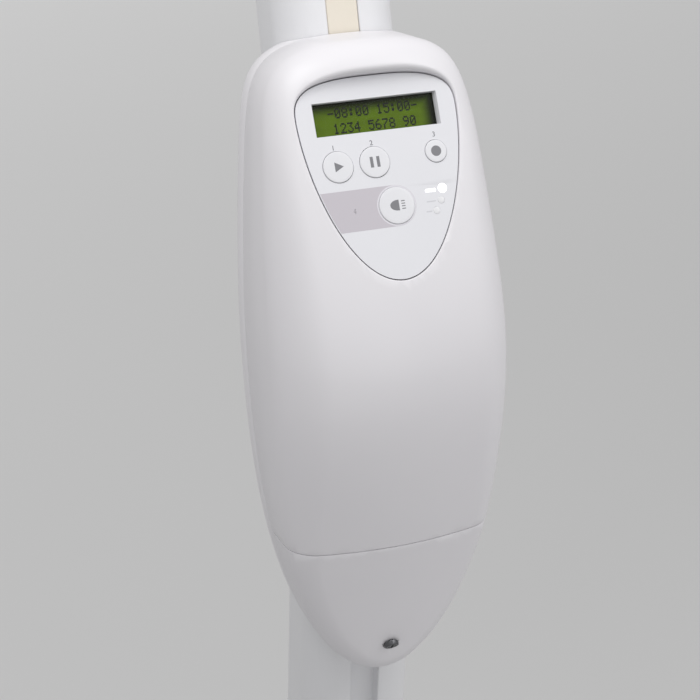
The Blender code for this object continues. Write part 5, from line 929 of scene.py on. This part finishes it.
def printMark(name, outlines, finish, body="stand", stand=0.0):
    low, high = (stand + ink["sunk"]) * mm, (stand + ink["proud"]) * mm
    item = workItem(filledMesh(name, outlines, low, high, panelPlace))
    return finishPiece(item, name, finish, body=body)


def shifted(points, at):
    return [((x + at[0]) * mm, (y - at[1]) * mm) for x, y in points]


# Symbols about the middles of their keys, in mm; the last is a bullet-shaped lamp with four dashed rays
turns = [math.pi / 2 * (step / 8 - 1) for step in range(17)]
nose = [(0.4 - 3.8 * math.cos(a), 2.5 * math.sin(a)) for a in turns]
symbols = {
    "start": [[(-1.7, -2.3), (2.6, 0), (-1.7, 2.3)]],
    "pause": [rectangle(x - 0.75, -2.5, x + 0.75, 2.5) for x in (-1.6, 1.6)],
    "stop": [circlePoints(2.5, sides=48)],
    "intensity": [[(1.0, -2.5), *nose, (1.0, 2.5)],
                  *[rectangle(2.2, y - 0.22, 4.0, y + 0.22) for y in (-1.8, -0.6, 0.6, 1.8)]],
}
for name, outlines in symbols.items():
    key = keys["key_" + name]
    marks = [shifted(outline, key["at"]) for outline in outlines]
    printMark(name + "_mark", marks, greyInk, key["body"], ink["keyTop"])

# Pale band from the panel's left edge, with its round end about the intensity key
band = {"radius": 9.65, "edge": 0.35, "sideSteps": 14, "endSteps": 32, "hole": 9.6, "ringHole": 8.85}
bright = keys["key_intensity"]["at"]
bandTop, bandFoot = bright[1] - band["radius"], bright[1] + band["radius"]
leftSide = []
for step in range(band["sideSteps"] + 1):
    down = bandFoot + (bandTop - bandFoot) * step / band["sideSteps"]
    reach = panelWide * (1 - (down / panelDown) ** panel["footPower"]) ** 0.5 - band["edge"]
    leftSide.append((-reach * mm, -down * mm))
middleX, middleY = panelPoint(bright)
bandRadius, endSteps = band["radius"] * mm, band["endSteps"]
roundTurns = [math.pi / 2 - math.pi * step / endSteps for step in range(endSteps + 1)]
roundEnd = [(middleX + bandRadius * math.cos(a), middleY + bandRadius * math.sin(a)) for a in roundTurns]
bandHole = circlePoints(band["hole"] * mm, panelPoint(bright))
printMark("intensity_band", [leftSide + roundEnd, bandHole], lilacInk)
printMark("intensity_ring", [bandHole, circlePoints(band["ringHole"] * mm, panelPoint(bright))], ringInk)

# Painted glow beside the top lamp: a lit bar and a ring of light, ink sheets given the lamp's glowing finish;
# faint marks beside the other two
highPoint = panelPoint(lamps["indicator_high"]["at"])
litBar = [(-2.6, -0.8), (2.3, -0.9), (2.6, 0.0), (2.3, 0.8), (-2.5, 0.8), (-2.9, 0.0)]
marksAndPaintedGlow = {
    "high_bar": ([shifted(litBar, (19.9, 38.5))], litLed),
    # painted glow: a ring of light on the film about the top lamp
    "high_glow": ([circlePoints(radius * mm, highPoint, 40) for radius in (2.3, 1.72)], litLed),
    "mid_bar": ([shifted(rectangle(-2.4, -0.3, 2.2, 0.3), (19.4, 43.7))], paleInk),
    "low_bar": ([shifted(rectangle(-1.6, -0.3, 1.4, 0.3), (17.6, 48.3))], paleInk),
}
for name, (outlines, finish) in marksAndPaintedGlow.items():
    printMark(name, outlines, finish)

# Plain numerals where the keys are labelled
numerals = {"size": 3.36, "thickness": 0.06, "at": {
    "1": (-23.9, 13.6), "2": (-5.2, 13.2), "3": (26.1, 12.6), "4": (-18.6, 43.9)}}
for words, at in numerals["at"].items():
    name = "numeral_" + words
    letters = textMesh(name, words, numerals["size"] * mm, numerals["thickness"] * mm, onPanel(*at))
    finishPiece(workItem(letters), name, darkInk)
print("scene: panel, keys and print ready")

# Character display under its clear window, in mm
display = {"recess": 1.5, "paneThickness": 1.2, "paneGap": 0.3, "paneEdge": 0.15, "glassLevel": -3.45,
           "glassThickness": 0.7, "cellShare": 0.997, "charWidth": 2.75, "charHeight": 4.7, "pitchX": 3.45,
           "pitchY": 7.0, "dotGap": -0.14, "dotStand": 0.03, "startX": -0.6, "firstTop": 5.3, "nextTop": 5.1,
           "rows": ("-08:00 15:00-", "1234 5678 90")}
paneW, paneH = halfW - display["paneGap"] * mm, halfH - display["paneGap"] * mm
paneTop, paneFoot = -display["recess"] * mm, -(display["recess"] + display["paneThickness"]) * mm
pane = workItem(blockMesh("displayPane", (-paneW, -paneH, paneFoot), (paneW, paneH, paneTop), panelPlace))
finishPiece(pane, "displayPane", clearAcrylic, ["display_window"],
            display["paneEdge"] * mm)

# Backlit olive cell, darker towards its top and right: painted shadow of the window's upper edge at the top,
# and the cell's own dark border at the top and right
crystal = {"lit": "5A7410", "cloud": "46590F", "dark": "14160F", "glow": 0.4}
liquidCrystal, tree, shader = newMaterial("liquidCrystal")
place = placeIn(tree, "UV")
parts = addNode(tree, "ShaderNodeSeparateXYZ", {"Vector": place}).outputs
cloud = addNoise(tree, place, scale=5.0)
rightDark = remap(tree, parts[0], start=0.86, end=0.97, interpolation_type="SMOOTHSTEP")
# painted shadow of the window's upper edge, over the cell's own dark border
topShadowAndBorder = remap(tree, parts[1], start=0.55, end=0.98, interpolation_type="SMOOTHSTEP")
lit = mixColours(tree, cloud, linear(crystal["lit"]), linear(crystal["cloud"]))
cell = mixColours(tree, larger(tree, rightDark, topShadowAndBorder), lit, linear(crystal["dark"]))
tree.links.new(cell, shader.inputs["Base Color"])
tree.links.new(cell, shader.inputs["Emission Color"])
shader.inputs["Emission Strength"].default_value = crystal["glow"]
shader.inputs["Roughness"].default_value = 0.45
shader.inputs["Specular IOR Level"].default_value = 0.2
cellInk = makeFinish("cellInk", {  # dots of the characters
    "colour": "121709", "shade": "0F1308", "grainMm": 0.2, "roughness": 0.6, "depthMm": 0.004, "wear": 0.0})

module = {"width": 63.2 * mm, "height": 19 * mm, "depth": 6.5 * mm, "front": -3.3 * mm, "view": 1.0 * mm,
          "edge": 0.15 * mm}
wide, tall, front = module["width"] / 2, module["height"] / 2, module["front"]
moduleBack = (-wide, -tall, front - module["depth"])
moduleItem = workItem(blockMesh("displayModule", moduleBack, (wide, tall, front), panelPlace))
viewTop = (halfW, halfH, tools["viewReach"])
carve(moduleItem, blockMesh("viewArea", (-halfW, -halfH, front - module["view"]), viewTop, panelPlace))
finishPiece(moduleItem, "displayModule", blackNylon, ["display_module"],
            module["edge"])
cellPlace = panelPlace @ Matrix.Scale(display["cellShare"], 4)
cellOutline = rectangle(-halfW, -halfH, halfW, halfH)
cellMesh = sheetMesh("displayCell", [cellOutline], display["glassLevel"] * mm, cellPlace)
for loop, uv in zip(cellMesh.uv_layers.new(name="UVMap").data, rectangle(0, 0, 1, 1)):
    loop.uv = uv
cellItem = workItem(cellMesh)
glass = cellItem.modifiers.new("glass", "SOLIDIFY")
glass.thickness = display["glassThickness"] * mm
glass.offset = -1
bake(cellItem)
finishPiece(cellItem, "displayCell", liquidCrystal)

digitRows = {  # plain five by seven figures
    "0": "01110 10001 10011 10101 11001 10001 01110", "1": "00100 01100 00100 00100 00100 00100 01110",
    "2": "01110 10001 00001 00010 00100 01000 11111", "3": "11111 00010 00100 00010 00001 10001 01110",
    "4": "00010 00110 01010 10010 11111 00010 00010", "5": "11111 10000 11110 00001 00001 10001 01110",
    "6": "00110 01000 10000 11110 10001 10001 01110", "7": "11111 00001 00010 00100 01000 01000 01000",
    "8": "01110 10001 10001 01110 10001 10001 01110", "9": "01110 10001 10001 01111 00001 00010 01100",
    ":": "00000 01100 01100 00000 01100 01100 00000", "-": "00000 00000 00000 11111 00000 00000 00000",
}


def dotOutlines():
    # one square for each dot that is on
    dotX, dotY, gap = display["charWidth"] / 5, display["charHeight"] / 7, display["dotGap"] / 2
    indent = (display["pitchX"] - display["charWidth"]) / 2 + display["startX"]
    for words, topY in zip(display["rows"], (display["firstTop"], display["nextTop"] - display["pitchY"])):
        startX = -len(words) * display["pitchX"] / 2 + indent
        for column, letter in enumerate(words):
            for line, bits in enumerate(digitRows.get(letter, "").split()):
                for dot in [number for number, bit in enumerate(bits) if bit == "1"]:
                    x = startX + column * display["pitchX"] + dot * dotX
                    y = topY - line * dotY
                    square = rectangle(x + gap, y - dotY + gap, x + dotX - gap, y - gap)
                    yield [(across * mm, up * mm) for across, up in square]


dotLevel = (display["glassLevel"] + display["dotStand"]) * mm
dotMesh = sheetMesh("displayFigures", dotOutlines(), dotLevel, panelPlace)
finishPiece(workItem(dotMesh), "displayFigures", cellInk)
print("scene: display ready")

# Every other node keeps its shape: finish and how far its edges are rounded, in mm
carried = {
    "key_board": (greenMask, 0.1), "main_board": (greenMask, 0.1), "power_supply": (zincSteel, 0.4),
    "console_bracket": (zincSteel, 0.4), "base_star": (powderCoat, 1.6), "base_cover": (mouldedAbs, 1.2),
    "mast_foot": (turnedAluminium, 0.6), "power_inlet": (blackNylon, 0.3), "fuse_drawer": (blackNylon, 0.3),
    "power_switch": (blackNylon, 0.5), "mast_head": (powderCoat, 1.2), "extension_arm": (powderCoat, 1.2),
    "elbow_bracket": (powderCoat, 0.8), "spring_arm": (powderCoat, 0.8), "parallel_link": (zincSteel, 0.5),
    "balance_spring": (blackSteel, 0.5), "end_bracket": (powderCoat, 0.8), "head_yoke": (powderCoat, 0.8),
    "head_front_shell": (mouldedAbs, 0.5), "head_rear_shell": (mouldedAbs, 0.5),
    "heat_sink": (turnedAluminium, 0.3), "light_board": (whiteMask, 0.1),
    "head_lens": (lensAcrylic, 0.3), "guide_ring": (greyNylon, 0.5),
    "fan_frame": (blackNylon, 0.4), "fan_rotor": (blackNylon, 0.2), "head_handle": (greyNylon, 0.4),
}
castorCount, edgeAngle = 5, 40
for number in range(1, castorCount + 1):
    carried[f"castor_fork_{number}"] = (greyNylon, 0.6)
    carried[f"castor_wheels_{number}"] = (greyRubber, 0.6)
    carried[f"castor_pedal_{number}"] = (greyNylon, 0.4)
for name, (finish, edge) in carried.items():
    item = nodes[name]
    item.data.materials.clear()
    item.data.materials.append(finish)
    softenEdges(item, edge * mm, angle=edgeAngle)
print("scene: carried nodes dressed,", len(carried))
